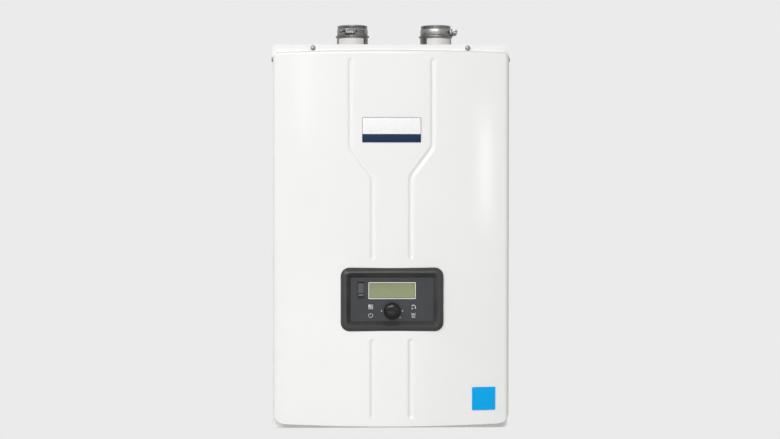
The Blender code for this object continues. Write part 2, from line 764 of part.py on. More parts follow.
def make_rocker():
    """Switch button with two flat lands that meet in a shallow valley."""
    half = ROCKER_SIZE[1] / 2
    rise = 0.0034
    valley = 0.0012
    profile = [(-valley, 0.0), (-rise, half), (0.0040, half * 0.86), (0.0065, 0.006),
               (0.0065, -0.006), (0.0040, -half * 0.86), (-rise, -half)]
    rocker = extruded([profile], -ROCKER_SIZE[0] / 2, ROCKER_SIZE[0] / 2, "YZ")
    rocker.location.y -= PANEL_FRONT
    rocker.location.z += ROCKER_AT[1]
    rocker.location.x += ROCKER_AT[0]
    axis = pivot("rocker_axis", (ROCKER_AT[0], -PANEL_FRONT + 0.0015, ROCKER_AT[1]))
    hang_on(keep(rocker, "power_rocker", "black_plastic"), axis)
    axis.rotation_euler = (ROCKER_TILT, 0, 0)
    return rocker


def make_keys():
    for name, at in KEYS.items():
        outline = rounded_rect(KEY_SIZE, KEY_SIZE, 0.0018, at, 2)
        key = extruded([outline], -PANEL_FRONT - 0.0004, -0.3188, "XZ")
        keep(key, name, "panel_plastic")


def make_control_bracket():
    """Cross rail between the case's sides, with folded edges."""
    back, front = -CASE_DEPTH + SHEET + GAP, -CASE_DEPTH + SHEET + GAP + 0.0015
    reach = HALF_W - SHEET - GAP
    z_low, z_high = CONTROL_Z - 0.022, CONTROL_Z + 0.022
    fold = back + 0.010
    section = [(back, z_low), (fold, z_low), (fold, z_low + 0.0015), (front, z_low + 0.0015),
               (front, z_high - 0.0015), (fold, z_high - 0.0015), (fold, z_high), (back, z_high)]
    rail = extruded([section], -reach, reach, "YZ")
    for i, x in enumerate((-0.16, -0.11, 0.11, 0.16)):
        hole = extruded([slot_outline(x, CONTROL_Z, 0.022, 0.010)], back - 0.005, front + 0.005, "XZ")
        cut(rail, hole, f"bracket_slot_{i}")
    return keep(rail, "control_bracket", "zinc_sheet")


# Vent collars and their clamps

def make_collar(name, x):
    seat = HALF_H + GAP
    foot = seat + 0.0018
    profile = [(RING_RADIUS, COLLAR_TOP), (RING_RADIUS, FLANGE_TOP), (FLANGE_RADIUS, FLANGE_TOP),
               (FLANGE_RADIUS, SLEEVE_TOP), (SLEEVE_RADIUS, SLEEVE_TOP), (SLEEVE_RADIUS, foot),
               (COLLAR_SEAT_RADIUS, foot), (COLLAR_SEAT_RADIUS, seat), (SPIGOT_RADIUS, seat),
               (SPIGOT_RADIUS, SPIGOT_BOTTOM), (VENT_BORE, SPIGOT_BOTTOM), (VENT_BORE, COLLAR_TOP)]
    collar = turned(profile, COLLAR_STEPS)
    collar.location = (x, COLLAR_Y, 0)
    return smooth(keep(baked(collar), name, "collar_steel"))


def make_clamp(label, x, turn):
    """Band with its screw housing in front, turned about the collar's axis."""
    inner = RING_RADIUS + GAP
    outer = inner + BAND_THICKNESS
    low, high = BAND_Z - BAND_WIDTH / 2, BAND_Z + BAND_WIDTH / 2
    screw_y = -outer - 0.0052
    band = turned([(outer, high), (outer, low), (inner, low), (inner, high)], COLLAR_STEPS)
    inset = 0.0001
    housing = rounded_box((-0.018, screw_y - 0.0050, low + inset), (0.005, -0.0225, high - inset), 0.0012, 1)
    fuse(band, housing, f"{label}_clamp_housing")
    cut(band, rod((0, 0, low - 0.01), (0, 0, high + 0.01), inner, COLLAR_STEPS), f"{label}_clamp_bore")
    thread = rod((-0.03, screw_y, BAND_Z), (0.03, screw_y, BAND_Z), CLAMP_SCREW_RADIUS + GAP, 12)
    cut(band, thread, f"{label}_clamp_thread")
    band = baked(band)
    shank = rod((-0.0235, screw_y, BAND_Z), (0.0085, screw_y, BAND_Z), CLAMP_SCREW_RADIUS, 12)
    hexagon = rod((-0.0295, screw_y, BAND_Z), (-0.0230, screw_y, BAND_Z), CLAMP_HEX / math.sqrt(3), 6)
    fuse(shank, hexagon, f"{label}_clamp_hexagon")
    slot = block((-0.0305, screw_y - 0.006, BAND_Z - 0.0006), (-0.0280, screw_y + 0.006, BAND_Z + 0.0006))
    cut(shank, slot, f"{label}_clamp_slot")
    screw = baked(shank)
    place = Matrix.Translation((x, COLLAR_Y, 0)) @ Matrix.Rotation(turn, 4, "Z")
    band.matrix_world = place @ band.matrix_world
    screw.matrix_world = place @ screw.matrix_world
    smooth(keep(band, f"{label}_clamp_band", "clamp_steel"))
    smooth(keep(screw, f"{label}_clamp_screw", "zinc_sheet"))
    hang_on(screw, pivot(f"{label}_clamp_axis", place @ Vector((0, screw_y, BAND_Z))))


def make_exhaust_duct():
    seat = SECONDARY_Z[1] + GAP
    sleeve = SPIGOT_RADIUS + GAP
    profile = [(sleeve + 0.0015, 0.379), (sleeve + 0.0015, seat + 0.003), (0.042, seat + 0.003),
               (0.042, seat), (0.030, seat), (0.030, SPIGOT_BOTTOM - 0.002), (sleeve, SPIGOT_BOTTOM - 0.002),
               (sleeve, 0.379)]
    duct = turned(profile, COLLAR_STEPS)
    duct.location = (EXHAUST_X, COLLAR_Y, 0)
    return smooth(keep(duct, "exhaust_duct", "hose_white"))


# Exchangers and burner

def stack_block(z_low, z_high, inset=0.0):
    near = (STACK_X[0] + inset, STACK_Y[0] + inset, z_low)
    far = (STACK_X[1] - inset, STACK_Y[1] - inset, z_high)
    return block(near, far)


def flue_space(z_low, z_high, inset):
    """The room for hot gas inside a stack piece, whose walls start at an inset."""
    return stack_block(z_low, z_high, inset + STACK_WALL)


def back_foot(z_low, z_high):
    """Bracket from the stack to the back panel."""
    return block((-0.110, STACK_Y[1] - 0.0075, z_low), (0.010, -SHEET - GAP, z_high))


def make_secondary_exchanger():
    """Ribbed stainless box with the flue opening in its top."""
    low, high = SECONDARY_Z
    body = stack_block(low, high, 0.003)
    ribs = 6
    pitch = (high - low) / ribs
    for i in range(ribs):
        middle = low + pitch * (i + 0.5)
        fuse(body, stack_block(middle - 0.0035, middle + 0.0035), f"secondary_rib_{i}")
    cut(body, flue_space(low - 0.01, high - STACK_WALL, 0.003), "secondary_space")
    fuse(body, back_foot(0.272, 0.298), "secondary_foot")
    port = rod((STACK_X[0] - 0.006, COLLAR_Y, 0.2575), (STACK_X[0] + 0.004, COLLAR_Y, 0.2575), 0.010, 12)
    fuse(body, port, "secondary_drain_port")
    cut(body, rod((EXHAUST_X, COLLAR_Y, 0.315), (EXHAUST_X, COLLAR_Y, 0.340), 0.030, 24), "secondary_flue")
    return keep(body, "secondary_exchanger", "stainless")


def make_primary_exchanger():
    """Open copper shell with a row of fins inside and return bends on its left side."""
    low, high = PRIMARY_Z
    body = stack_block(low, high, 0.004)
    for i, z in enumerate((low, high - 0.005)):
        fuse(body, stack_block(z, z + 0.005), f"primary_flange_{i}")
    for i in range(3):
        y = STACK_Y[0] + 0.032 + i * 0.040
        for k, z in enumerate((low + 0.022, low + 0.062)):
            turns = [math.pi * j / 4 for j in range(5)]
            root = STACK_X[0] + 0.0050
            arc = [(root - 0.013 * math.sin(a), y, z + 0.010 - 0.010 * math.cos(a)) for a in turns]
            fuse(body, baked(tube(arc, 0.0055, 1)), f"primary_bend_{i}_{k}")
    cut(body, flue_space(low - 0.01, high + 0.01, 0.004), "primary_space")
    fins = PRIMARY_FINS + 1
    for i in range(1, fins):
        x = STACK_X[0] + (STACK_X[1] - STACK_X[0]) * i / fins
        near = (x - 0.0004, STACK_Y[0] + 0.005, low + 0.018)
        far = (x + 0.0004, STACK_Y[1] - 0.005, high - 0.018)
        fuse(body, block(near, far), f"primary_fin_{i}")
    fuse(body, back_foot(0.180, 0.210), "primary_foot")
    return keep(body, "primary_exchanger", "copper")


def make_burner_box():
    """Chamber open to the exchanger above, with the fan's inlet in its floor."""
    low, high = BURNER_Z
    body = stack_block(low, high, 0.006)
    for i, z in enumerate((low, high - 0.004)):
        fuse(body, stack_block(z, z + 0.004), f"burner_flange_{i}")
    window = rod((-0.050, -0.200, 0.100), (-0.050, -0.170, 0.100), 0.011, 16)
    cut(body, window, "burner_window")
    cut(body, flue_space(low + STACK_WALL, high + 0.01, 0.006), "burner_space")
    cut(body, block((-0.130, -0.145, low - 0.01), (-0.090, -0.100, low + 0.01)), "burner_inlet")
    fuse(body, back_foot(0.070, 0.100), "burner_foot")
    return keep(body, "burner_box", "stainless")


def make_burner_door():
    """Plate over the burner, with holes for the sight glass and the two rods."""
    outline = rounded_rect(0.170, 0.078, 0.006, (-0.050, 0.098), 2)
    holes = [circle(0.0115, (-0.050, 0.100), 16)]
    holes += [circle(0.0049, (x, 0.100), 12) for x in (-0.090, -0.010)]
    face = STACK_Y[0] + 0.006 - GAP
    door = extruded([outline, *holes], face - 0.003, face, "XZ")
    for i, (x, z) in enumerate(((-0.128, 0.066), (-0.128, 0.130), (0.028, 0.066), (0.028, 0.130))):
        fuse(door, rod((x, face - 0.006, z), (x, face - 0.001, z), 0.0045, 6), f"door_bolt_{i}")
    return keep(door, "burner_door", "zinc_sheet")


def make_sight_glass():
    glass = rod((-0.050, -0.1835, 0.100), (-0.050, -0.1700 - GAP, 0.100), 0.0106, 16)
    return keep(glass, "sight_glass", "glass")


def make_burner_rod(name, x, reach):
    """Ceramic body in front of the door with a metal tip, as one turned piece."""
    face = -(STACK_Y[0] + 0.006 - GAP) + 0.003
    profile = [(0.0, face + reach), (0.0022, face + reach), (0.0034, face + reach - 0.004),
               (0.0034, face + 0.008), (0.0070, face + 0.006), (0.0070, face + GAP),
               (0.0045, face + GAP), (0.0045, face - 0.0025), (0.0, face - 0.0025)]
    made = turned(profile, 12)
    made.rotation_euler = (math.radians(90), 0, 0)
    made.location = (x, 0, 0.100)
    return keep(made, name, "ceramic")


# Combustion fan

def volute_outline(wall, top):
    """Spiral casing outline whose outlet rises on the left."""
    start, sweep = 124, 304
    tongue, grown = 0.064, 0.086
    points = [(FAN_X - 0.036 + wall, top)]
    for i in range(19):
        share = i / 18
        angle = math.radians(start - sweep * share)
        radius = tongue + (grown - tongue) * share + wall
        points.append((FAN_X + radius * math.cos(angle), FAN_Z + radius * math.sin(angle)))
    points.append((FAN_X - grown - wall, top))
    return points


def make_fan_housing():
    top = BURNER_Z[0] - GAP
    housing = extruded([volute_outline(FAN_WALL, top)], FAN_FRONT, FAN_BACK, "XZ")
    near = (FAN_X - FAN_FLANGE, FAN_FRONT - 0.006, top - 0.004)
    far = (FAN_X - 0.028, FAN_BACK + 0.006, top)
    fuse(housing, block(near, far), "fan_flange")
    cavity = extruded([volute_outline(0, top + 0.01)], FAN_FRONT + FAN_WALL, FAN_BACK - FAN_WALL, "XZ")
    cut(housing, cavity, "fan_cavity")
    lip = rod((FAN_X, FAN_FRONT - 0.006, FAN_Z), (FAN_X, FAN_FRONT + 0.001, FAN_Z), FAN_EYE + 0.003, 20)
    fuse(housing, lip, "fan_lip")
    openings = (("fan_eye", FAN_FRONT, FAN_EYE, 20), ("fan_shaft_hole", FAN_BACK, 0.006, 12))
    for name, y, radius, sides in openings:
        cut(housing, rod((FAN_X, y - 0.01, FAN_Z), (FAN_X, y + 0.01, FAN_Z), radius, sides), name)
    return keep(housing, "fan_housing", "cast_alloy")


def blade_outline(index):
    """One forward-curved blade between the eye and the wheel's rim."""
    inner, outer = 0.042, IMPELLER_RADIUS - 0.001
    base = 2 * math.pi * index / IMPELLER_BLADES
    front, back = [], []
    for i in range(3):
        share = i / 2
        radius = inner + (outer - inner) * share
        angle = base + math.radians(16) * share ** 2
        half = 0.0006 / radius
        front.append((FAN_X + radius * math.cos(angle + half), FAN_Z + radius * math.sin(angle + half)))
        back.append((FAN_X + radius * math.cos(angle - half), FAN_Z + radius * math.sin(angle - half)))
    return front + back[::-1]


def make_fan_impeller():
    """Back disc, curved blades and front ring, with the shaft into the motor."""
    disc_back, disc_front = 0.1000, 0.1025
    ring_back, ring_front = 0.1445, 0.1465
    profile = [(0.0, 0.1180), (0.0090, 0.1180), (0.0120, disc_front), (IMPELLER_RADIUS, disc_front),
               (IMPELLER_RADIUS, disc_back), (0.0040, disc_back), (0.0040, 0.0700), (0.0, 0.0700)]
    wheel = turned(profile, 20)
    wheel.rotation_euler = (math.radians(90), 0, 0)
    wheel.location = (FAN_X, 0, FAN_Z)
    outlines = [blade_outline(i) for i in range(IMPELLER_BLADES)]
    blades = extruded(outlines, -ring_back - 0.0005, -disc_front + 0.0005, "XZ")
    fuse(wheel, blades, "impeller_blades")
    rim = [(IMPELLER_RADIUS, ring_front), (IMPELLER_RADIUS, ring_back)]
    rim += [(0.041, ring_back), (0.041, ring_front)]
    ring = turned(rim, 20)
    ring.rotation_euler = (math.radians(90), 0, 0)
    ring.location = (FAN_X, 0, FAN_Z)
    fuse(wheel, ring, "impeller_ring")
    wheel = smooth(keep(baked(wheel), "fan_impeller", "black_plastic"), 30)
    return hang_on(wheel, pivot("fan_axis", (FAN_X, FAN_BACK, FAN_Z)))


def make_fan_motor():
    front = -FAN_BACK - GAP
    profile = [(0.024, front), (0.037, front), (0.037, front - 0.006), (0.033, front - 0.008), (0.033, 0.052),
               (0.028, 0.047), (0.012, 0.047), (0.012, 0.044), (0.0, 0.044)]
    motor = turned([(0.0, front)] + profile, 20)
    motor.rotation_euler = (math.radians(90), 0, 0)
    motor.location = (FAN_X, 0, FAN_Z)
    cut(motor, rod((FAN_X, -0.110, FAN_Z), (FAN_X, -0.066, FAN_Z), 0.0045, 12), "motor_bore")
    plug = block((FAN_X - 0.010, -0.080, FAN_Z + 0.028), (FAN_X + 0.010, -0.060, FAN_Z + 0.042))
    fuse(motor, plug, "motor_plug")
    return keep(motor, "fan_motor", "black_plastic")


# Gas, water and condensate

def make_nipple(name, x):
    """Threaded connection whose flange rests on the bottom plate."""
    seat = -HALF_H + SHEET + GAP
    profile = [(0.0120, NIPPLE_TOP), (0.0120, seat + 0.004), (0.0180, seat + 0.004), (0.0180, seat),
               (NIPPLE_RADIUS, seat), (NIPPLE_RADIUS, NIPPLE_BOTTOM + 0.0015), (0.0120, NIPPLE_BOTTOM),
               (NIPPLE_BORE, NIPPLE_BOTTOM), (NIPPLE_BORE, NIPPLE_TOP)]
    nipple = turned(profile, 16)
    nipple.location = (x, CONNECTION_Y, 0)
    return smooth(keep(nipple, name, "brass"))


def make_small_fitting(name, x, bore, top, finish):
    seat = -HALF_H + SHEET + GAP
    profile = [(0.0105, top), (0.0105, seat + 0.003), (0.0150, seat + 0.003), (0.0150, seat),
               (DRAIN_RADIUS, seat), (DRAIN_RADIUS, NIPPLE_BOTTOM), (bore, NIPPLE_BOTTOM), (bore, top)]
    fitting = turned(profile, 12)
    fitting.location = (x, CONNECTION_Y, 0)
    return smooth(keep(fitting, name, finish))


def make_pipe(name, corners, radius, bend, finish):
    return keep(tube(bent(corners, bend), radius, 3), name, finish)


def make_flow_sensor():
    """Turbine body between the cold nipple and the water valve, with its pickup."""
    low, high = NIPPLE_TOP + GAP, -0.302
    profile = [(0.0, high), (0.0150, high), (0.0150, high - 0.008), (0.0115, high - 0.012),
               (0.0115, low + 0.012), (0.0150, low + 0.008), (0.0150, low), (0.0, low)]
    body = turned(profile, 16)
    body.location = (COLD_X, CONNECTION_Y, 0)
    middle = (low + high) / 2
    pickup = rounded_box((COLD_X - 0.009, CONNECTION_Y - 0.022, middle - 0.009),
                         (COLD_X + 0.009, CONNECTION_Y, middle + 0.009), 0.0015)
    fuse(body, pickup, "flow_pickup")
    return keep(body, "flow_sensor", "black_plastic")


def make_water_valve():
    """Brass body with the stepper motor on its front."""
    low, high = -0.302 + GAP, -0.240
    half = 0.017
    near = (COLD_X - half, CONNECTION_Y - half, low)
    body = rounded_box(near, (COLD_X + half, CONNECTION_Y + half, high), 0.003)
    middle = (low + high) / 2
    for name, reach, radius in (("valve_motor", 0.048, 0.0140), ("valve_collar", 0.024, 0.0165)):
        front = (COLD_X, CONNECTION_Y - reach, middle)
        fuse(body, rod(front, (COLD_X, CONNECTION_Y, middle), radius, 16), name)
    return keep(body, "water_control_valve", "brass")


def make_gas_valve():
    """Cast block with two coil caps on top and the adjusting cap in front."""
    body = rounded_box((-0.090, -0.145, -0.280), (-0.010, -0.075, -0.215), 0.003)
    for i, x in enumerate((-0.072, -0.034)):
        fuse(body, rod((x, CONNECTION_Y, -0.220), (x, CONNECTION_Y, -0.183), 0.0140, 16), f"gas_coil_{i}")
    fuse(body, rod((GAS_X, -0.160, -0.250), (GAS_X, -0.140, -0.250), 0.0120, 12), "gas_adjuster")
    inlet = rod((GAS_X, CONNECTION_Y, -0.290), (GAS_X, CONNECTION_Y, -0.270), 0.0160, 6)
    fuse(body, inlet, "gas_inlet_nut")
    return keep(body, "gas_valve", "cast_alloy")


def make_condensate_trap():
    body = rounded_box((-0.220, -0.138, -0.310), (-0.160, -0.082, -0.190), 0.005)
    side = -HALF_W + SHEET + GAP
    fuse(body, block((side, -0.125, -0.215), (-0.210, -0.095, -0.212)), "trap_ear")
    fuse(body, block((side, -0.125, -0.230), (side + 0.002, -0.095, -0.212)), "trap_plate")
    outlet = rod((DRAIN_X, CONNECTION_Y, -0.355), (DRAIN_X, CONNECTION_Y, -0.300), 0.0105, 16)
    fuse(body, outlet, "trap_outlet")
    fuse(body, rod((-0.182, CONNECTION_Y, -0.325), (-0.182, CONNECTION_Y, -0.305), 0.0150, 16), "trap_bowl")
    return keep(body, "condensate_trap", "hose_white")


# Electrics

def make_main_board():
    """Board case on the right side panel with a separate front lid."""
    left, right = 0.158, HALF_W - SHEET - GAP
    body = rounded_box((left, -0.196, -0.040), (right, -0.115, 0.200), 0.003)
    lid = rounded_box((left + 0.001, -0.2085, -0.039), (right - 0.001, -0.196 - GAP, 0.199), 0.003)
    for i in range(6):
        z = 0.02 + 0.022 * i
        cut(lid, block((left + 0.014, -0.212, z), (right - 0.014, -0.2065, z + 0.006)), f"lid_vent_{i}")
    keep(body, "main_board_case", "black_plastic")
    keep(lid, "main_board_lid", "black_plastic")


def make_spark_transformer():
    right = HALF_W - SHEET - GAP
    body = rounded_box((0.196, -0.146, -0.125), (right, -0.091, -0.070), 0.003)
    fuse(body, rod((0.214, -0.118, -0.140), (0.214, -0.118, -0.120), 0.006), "transformer_outlet")
    return keep(body, "spark_transformer", "black_plastic")


def make_harness():
    route = [(0.0878, -0.292, -0.150), (0.124, -0.292, -0.150), (0.165, -0.262, -0.158),
             (0.186, -0.205, -0.135), (0.188, -0.158, -0.080), (0.188, -0.158, -0.0403)]
    points = bent(route, 0.020, 2)
    return keep(tube(points, 0.0035, 2), "control_harness", "black_plastic")


def make_water_and_gas():
    make_nipple("cold_inlet_nipple", COLD_X)
    make_nipple("hot_outlet_nipple", HOT_X)
    make_nipple("gas_inlet_nipple", GAS_X)
    make_small_fitting("condensate_drain", DRAIN_X, DRAIN_BORE, NIPPLE_TOP - GAP, "hose_white")
    make_small_fitting("power_gland", GLAND_X, 0.0045, -0.365, "black_plastic")
    make_flow_sensor()
    make_water_valve()
    make_gas_valve()
    make_condensate_trap()
    above = NIPPLE_TOP + GAP
    cold_end = (STACK_X[1] + GAP, CONNECTION_Y, 0.288 + 0.0035)
    cold = [(COLD_X, CONNECTION_Y, -0.240 + GAP), (COLD_X, CONNECTION_Y, cold_end[2]), cold_end]
    make_pipe("cold_pipe", cold, PIPE_RADIUS, 0.022, "copper")
    hot_z = PRIMARY_Z[0] + 0.035
    hot_end = (STACK_X[1] - 0.004 + GAP, CONNECTION_Y, hot_z)
    hot = [(HOT_X, CONNECTION_Y, above), (HOT_X, CONNECTION_Y, hot_z), hot_end]
    make_pipe("hot_pipe", hot, PIPE_RADIUS, 0.020, "copper")
    riser = [(GAS_X, CONNECTION_Y, above), (GAS_X, CONNECTION_Y, -0.290 - GAP)]
    make_pipe("gas_pipe", riser, PIPE_RADIUS, 0.020, "brass")
    x, z = -0.1440, -0.245
    gas = [(-0.090 - GAP, CONNECTION_Y, z), (x, CONNECTION_Y, z), (x, CONNECTION_Y, BURNER_Z[0] - GAP)]
    make_pipe("gas_tube", gas, 0.0045, 0.018, "copper")
    x, z = STACK_X[0] - 0.006 - GAP, 0.2575
    hose = [(x, COLLAR_Y, z), (DRAIN_X, COLLAR_Y, z), (DRAIN_X, COLLAR_Y, -0.190 + GAP)]
    make_pipe("condensate_hose", hose, 0.0080, 0.020, "hose_white")


def main():
    global PARTS, CUTTERS
    clear_scene()
    PARTS = new_collection("tankless_water_heater")
    CUTTERS = new_collection("cutters")
    make_back_panel()
    for side in (1, -1):
        make_side_panel(side)
    make_top_plate()
    make_bottom_plate()
    make_front_frame()
    make_cover_gasket()
    make_front_cover()
    make_control_bezel()
    make_cover_screws()
    make_control_bracket()
    make_control_housing()
    make_control_board()
    make_control_panel()
    make_display_glass()
    make_dial()
    make_rocker()
    make_keys()
    make_collar("exhaust_collar", EXHAUST_X)
    make_collar("intake_collar", INTAKE_X)
    make_clamp("exhaust", EXHAUST_X, 0)
    make_clamp("intake", INTAKE_X, math.radians(90))
    make_exhaust_duct()
    make_secondary_exchanger()
    make_primary_exchanger()
    make_burner_box()
    make_burner_door()
    make_sight_glass()
    make_burner_rod("spark_electrode", -0.090, 0.030)
    make_burner_rod("flame_rod", -0.010, 0.024)
    make_fan_housing()
    make_fan_impeller()
    make_fan_motor()
    make_water_and_gas()
    make_main_board()
    make_spark_transformer()
    make_harness()


main()
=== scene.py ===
"""Looks for the tankless water heater: finishes, fine pieces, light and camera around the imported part.

Metres, +Z up. The front faces -Y and the wall is at Y 0.
"""

import json
import math

import bpy
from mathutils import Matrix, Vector


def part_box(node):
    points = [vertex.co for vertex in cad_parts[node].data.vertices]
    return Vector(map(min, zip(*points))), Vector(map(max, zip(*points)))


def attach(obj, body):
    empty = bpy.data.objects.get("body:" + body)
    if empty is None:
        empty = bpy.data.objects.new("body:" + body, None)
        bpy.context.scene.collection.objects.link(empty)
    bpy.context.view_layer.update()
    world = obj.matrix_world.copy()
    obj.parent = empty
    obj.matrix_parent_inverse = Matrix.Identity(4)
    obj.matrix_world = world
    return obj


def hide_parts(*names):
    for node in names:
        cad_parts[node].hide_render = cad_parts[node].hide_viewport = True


# Cover
COVER_FRONT = 0.328
COVER_HALF_W = 0.234
COVER_SAG = 0.020
COVER_TOP = 0.3658
COVER_ARCH = 0.003
COVER_BOTTOM = -0.3726
COVER_CORNER = 0.011
COVER_FOOT_CORNER = 0.022
COVER_EDGE = 0.011
TOP_ROLL_DEPTH = 0.012
TOP_ROLL_HEIGHT = 0.0046
ROLL_FADE = 0.02
RIM_FACE = -0.2795
RIM_HALF = (0.235, 0.3822)
RIM_CORNER = 0.007
SHEET = 0.0012
GROOVE_HALF_WIDTH = 0.0066
GROOVE_DEPTH = 0.0031
GROOVE_ASIDE = -0.0012
GROOVE_UPPER_X = 0.081
GROOVE_LOWER_X = 0.0376
GROOVE_BENDS = (0.177, 0.1185)
GROOVE_RUNS = ((0.3464, -0.0388), (-0.2053, -0.3524))
BEND_REACH = 0.007
BOW_RADIUS = (COVER_HALF_W ** 2 + COVER_SAG ** 2) / (2 * COVER_SAG)
BOW_BACK = COVER_FRONT - BOW_RADIUS

# Where the cover's rows and columns stand: across a groove (in millimetres), from the groove to the side as shares,
# round the side as angles, at a groove's end, at a bend, and at the top and the foot
ACROSS_GROOVE = (-8.6, -7.4, -6.2, -4.9, -3.6, -2.4, -1.2, 0, 1.2, 2.4, 3.6, 4.9, 6.2, 7.4, 8.6)
TO_SIDE = (0.12, 0.26, 0.42, 0.58, 0.74, 0.88, 0.94, 0.98)
ROUND_SIDE = (90, 78, 66, 54, 42, 30, 18, 8, 0)
END_STEPS = (-0.006, -0.004, -0.002, 0, 0.0016, 0.0032, 0.0048, 0.0062, 0.0076)
BEND_STEPS = (-0.010, -0.007, -0.0035, 0, 0.0035, 0.007, 0.010)
TOP_ROWS = (0.3548, 0.3588, 0.3612, 0.3624, 0.3635, 0.3644, 0.3652, COVER_TOP)
FOOT_ROWS = (COVER_BOTTOM + COVER_FOOT_CORNER, -0.3562, -0.3604, -0.3640, -0.3670, -0.3696, -0.3716, COVER_BOTTOM)
ROW_LEAST = 0.0006
ROW_MOST = 0.011
BOW_STRIPS = 16

# Control unit
CONTROL_Z = -0.1213
BEZEL_SIZE = (0.2026, 0.1256)
BEZEL_Z = CONTROL_Z - 0.0012
BEZEL_CORNER = 0.0175
CORNER_SHRINK = 0.78
BEZEL_FRONT = -0.333
SEAT_GAP = 0.0003
WINDOW_SIZE = (0.1886, 0.1116)
WINDOW_CORNER = 0.0118
PANEL_FACE = -0.324
DISPLAY_Z = -0.1053
DISPLAY_SIZE = (0.0933, 0.0330)
DISPLAY_BORDER = 0.0016
FILM_SIZE = (0.0877, 0.0276)
DIAL_Z = -0.1452
DIAL_RADIUS = 0.0166
KEY_FACE = -0.3244
INK = 0.00025
STROKE = 0.0009
DIAL_DIPS = 12
DIP_DEPTH = 0.055
ROCKER_LAND = -0.3252
ROCKER_ROUND = 0.0032
# Height of the black plate on the rocker's lower end, which is painted shade
ROCKER_PAINTED_SHADE = 0.0102
KEYS = {
    "menu": (-0.0422, -0.1372),
    "power": (-0.0422, -0.1539),
    "water": (0.0422, -0.1372),
    "heat": (0.0422, -0.1539),
}

# Vent collars
COLLAR_Y = -0.105
EXHAUST_X = -0.0665
INTAKE_X = 0.110
SLEEVE_RADIUS = 0.0328
VENT_BORE = 0.0304
BAND_Z = 0.4242
BAND_LOW = BAND_Z - 0.00635
BAND_HIGH = BAND_Z + 0.00635
BAND_INNER = 0.0315
BAND_OUTER = 0.0323
WORM_Y = -BAND_OUTER - 0.0052
HOUSING_ENDS = (-0.0180, 0.0050)
SLOT_STEP = 4.6
SLOT_SLANT = 0.24
RIB_PITCH = 0.0034
WORM_PITCH = 0.0014
EXHAUST_TURN = 0.0
INTAKE_TURN = math.radians(90)

# Connections
CONNECTION_Y = -0.110
COLD_X = 0.130
HOT_X = 0.085
GAS_X = -0.050
DRAIN_X = -0.190
GLAND_X = 0.205
GLAND_RIBS = 18
RIB_DEPTH = 0.0005
THREAD_PITCH = 0.00181
BARB_PITCH = 0.0058

# Screws
COVER_SCREW_X = 0.1545
COVER_SCREW_Z = 0.3756
SIDE_SCREW_Z = 0.3515
SIDE_SCREW_Y = -0.2895
SCREW_HOLE = 0.0026

# Surroundings: the floor's height, the background, and the soft light in the middle and its change to the right
FLOOR_Z = -1.20
BACKGROUND = (0.83, 0.83, 0.83, 1)
SOFT_LIGHT = 0.29
SOFT_SLOPE = -0.22

# For the work by hand: turns that lay an axis along X or Y, distances below which points are one, points in a bend
# of a pipe, and the fineness of brushed lines
ALONG_X = (0, math.pi / 2, 0)
ALONG_Y = (math.pi / 2, 0, 0)
MERGE = 0.000002
BORDER_MERGE = 0.00001
HAIR = 0.000001
BEND_POINTS = 10
BRUSH_GRIT = 900

# Finishes by name, and the nodes that a finer piece stands for; both are filled as the work goes on
FINISHES = {}
STOOD_FOR = set()


# Working by hand

def only(piece):
    """Select one piece and nothing else."""
    for other in bpy.context.selected_objects:
        other.select_set(False)
    piece.select_set(True)
    bpy.context.view_layer.objects.active = piece


def edit(select=None):
    """Go into edit mode, and select or deselect everything if asked."""
    bpy.ops.object.mode_set(mode="EDIT")
    if select:
        bpy.ops.mesh.select_all(action=select)


def done():
    """Leave edit mode."""
    bpy.ops.object.mode_set(mode="OBJECT")


def pick(kind):
    """Let edit mode work on points or on edges."""
    bpy.ops.mesh.select_mode(type=kind)


def baked(piece):
    """Put a piece's place, turn and size into its mesh."""
    only(piece)
    bpy.ops.object.transform_apply(location=True, rotation=True, scale=True)
    return piece


def settle(piece):
    """Put a piece's place, turn and size into its mesh, and merge its doubles."""
    baked(piece)
    edit("SELECT")
    bpy.ops.mesh.remove_doubles(threshold=MERGE)
    bpy.ops.mesh.normals_make_consistent(inside=False)
    done()
    return piece


def bevelled(piece, width, segments, angle):
    """Ease every edge sharper than an angle."""
    only(piece)
    edge = piece.modifiers.new("edges", "BEVEL")
    edge.width = width
    edge.segments = segments
    edge.limit_method = "ANGLE"
    edge.angle_limit = math.radians(angle)
    edge.use_clamp_overlap = True
    bpy.ops.object.modifier_apply(modifier="edges")
    return piece


def smoothed(piece, angle):
    """Shade a piece smoothly, except across edges sharper than an angle."""
    only(piece)
    bpy.ops.object.shade_smooth_by_angle(angle=math.radians(angle))
    return piece


def dress(piece, name, body, look, nodes=()):
    """Give a piece its name, body and its finish as its one material, and let it stand for solids."""
    piece.name = name
    piece.data.name = name
    piece.data.materials.clear()
    piece.data.materials.append(FINISHES[look])
    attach(piece, body)
    if nodes:
        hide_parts(*nodes)
        STOOD_FOR.update(nodes)


def box_piece(low, high):
    """A block between two corners."""
    centre = [(a + b) / 2 for a, b in zip(low, high)]
    bpy.ops.mesh.primitive_cube_add(size=1, location=centre)
    piece = bpy.context.object
    piece.scale = [b - a for a, b in zip(low, high)]
    return settle(piece)


def grown(profile, sides, closed=False):
    """A round piece about Z, grown from a circle ring by ring along (radius, height) points."""
    radius, height = profile[0]
    fill = "NOTHING" if closed else "NGON"
    bpy.ops.mesh.primitive_circle_add(vertices=sides, radius=radius, fill_type=fill, location=(0, 0, height))
    piece = bpy.context.object
    edit("SELECT")
    for (r0, z0), (r1, z1) in zip(profile, profile[1:] + (profile[:1] if closed else [])):
        bpy.ops.mesh.extrude_region_move(TRANSFORM_OT_translate={"value": (0, 0, z1 - z0)})
        bpy.ops.transform.resize(value=(r1 / r0, r1 / r0, 1), center_override=(0, 0, z1))
    done()
    return settle(piece)


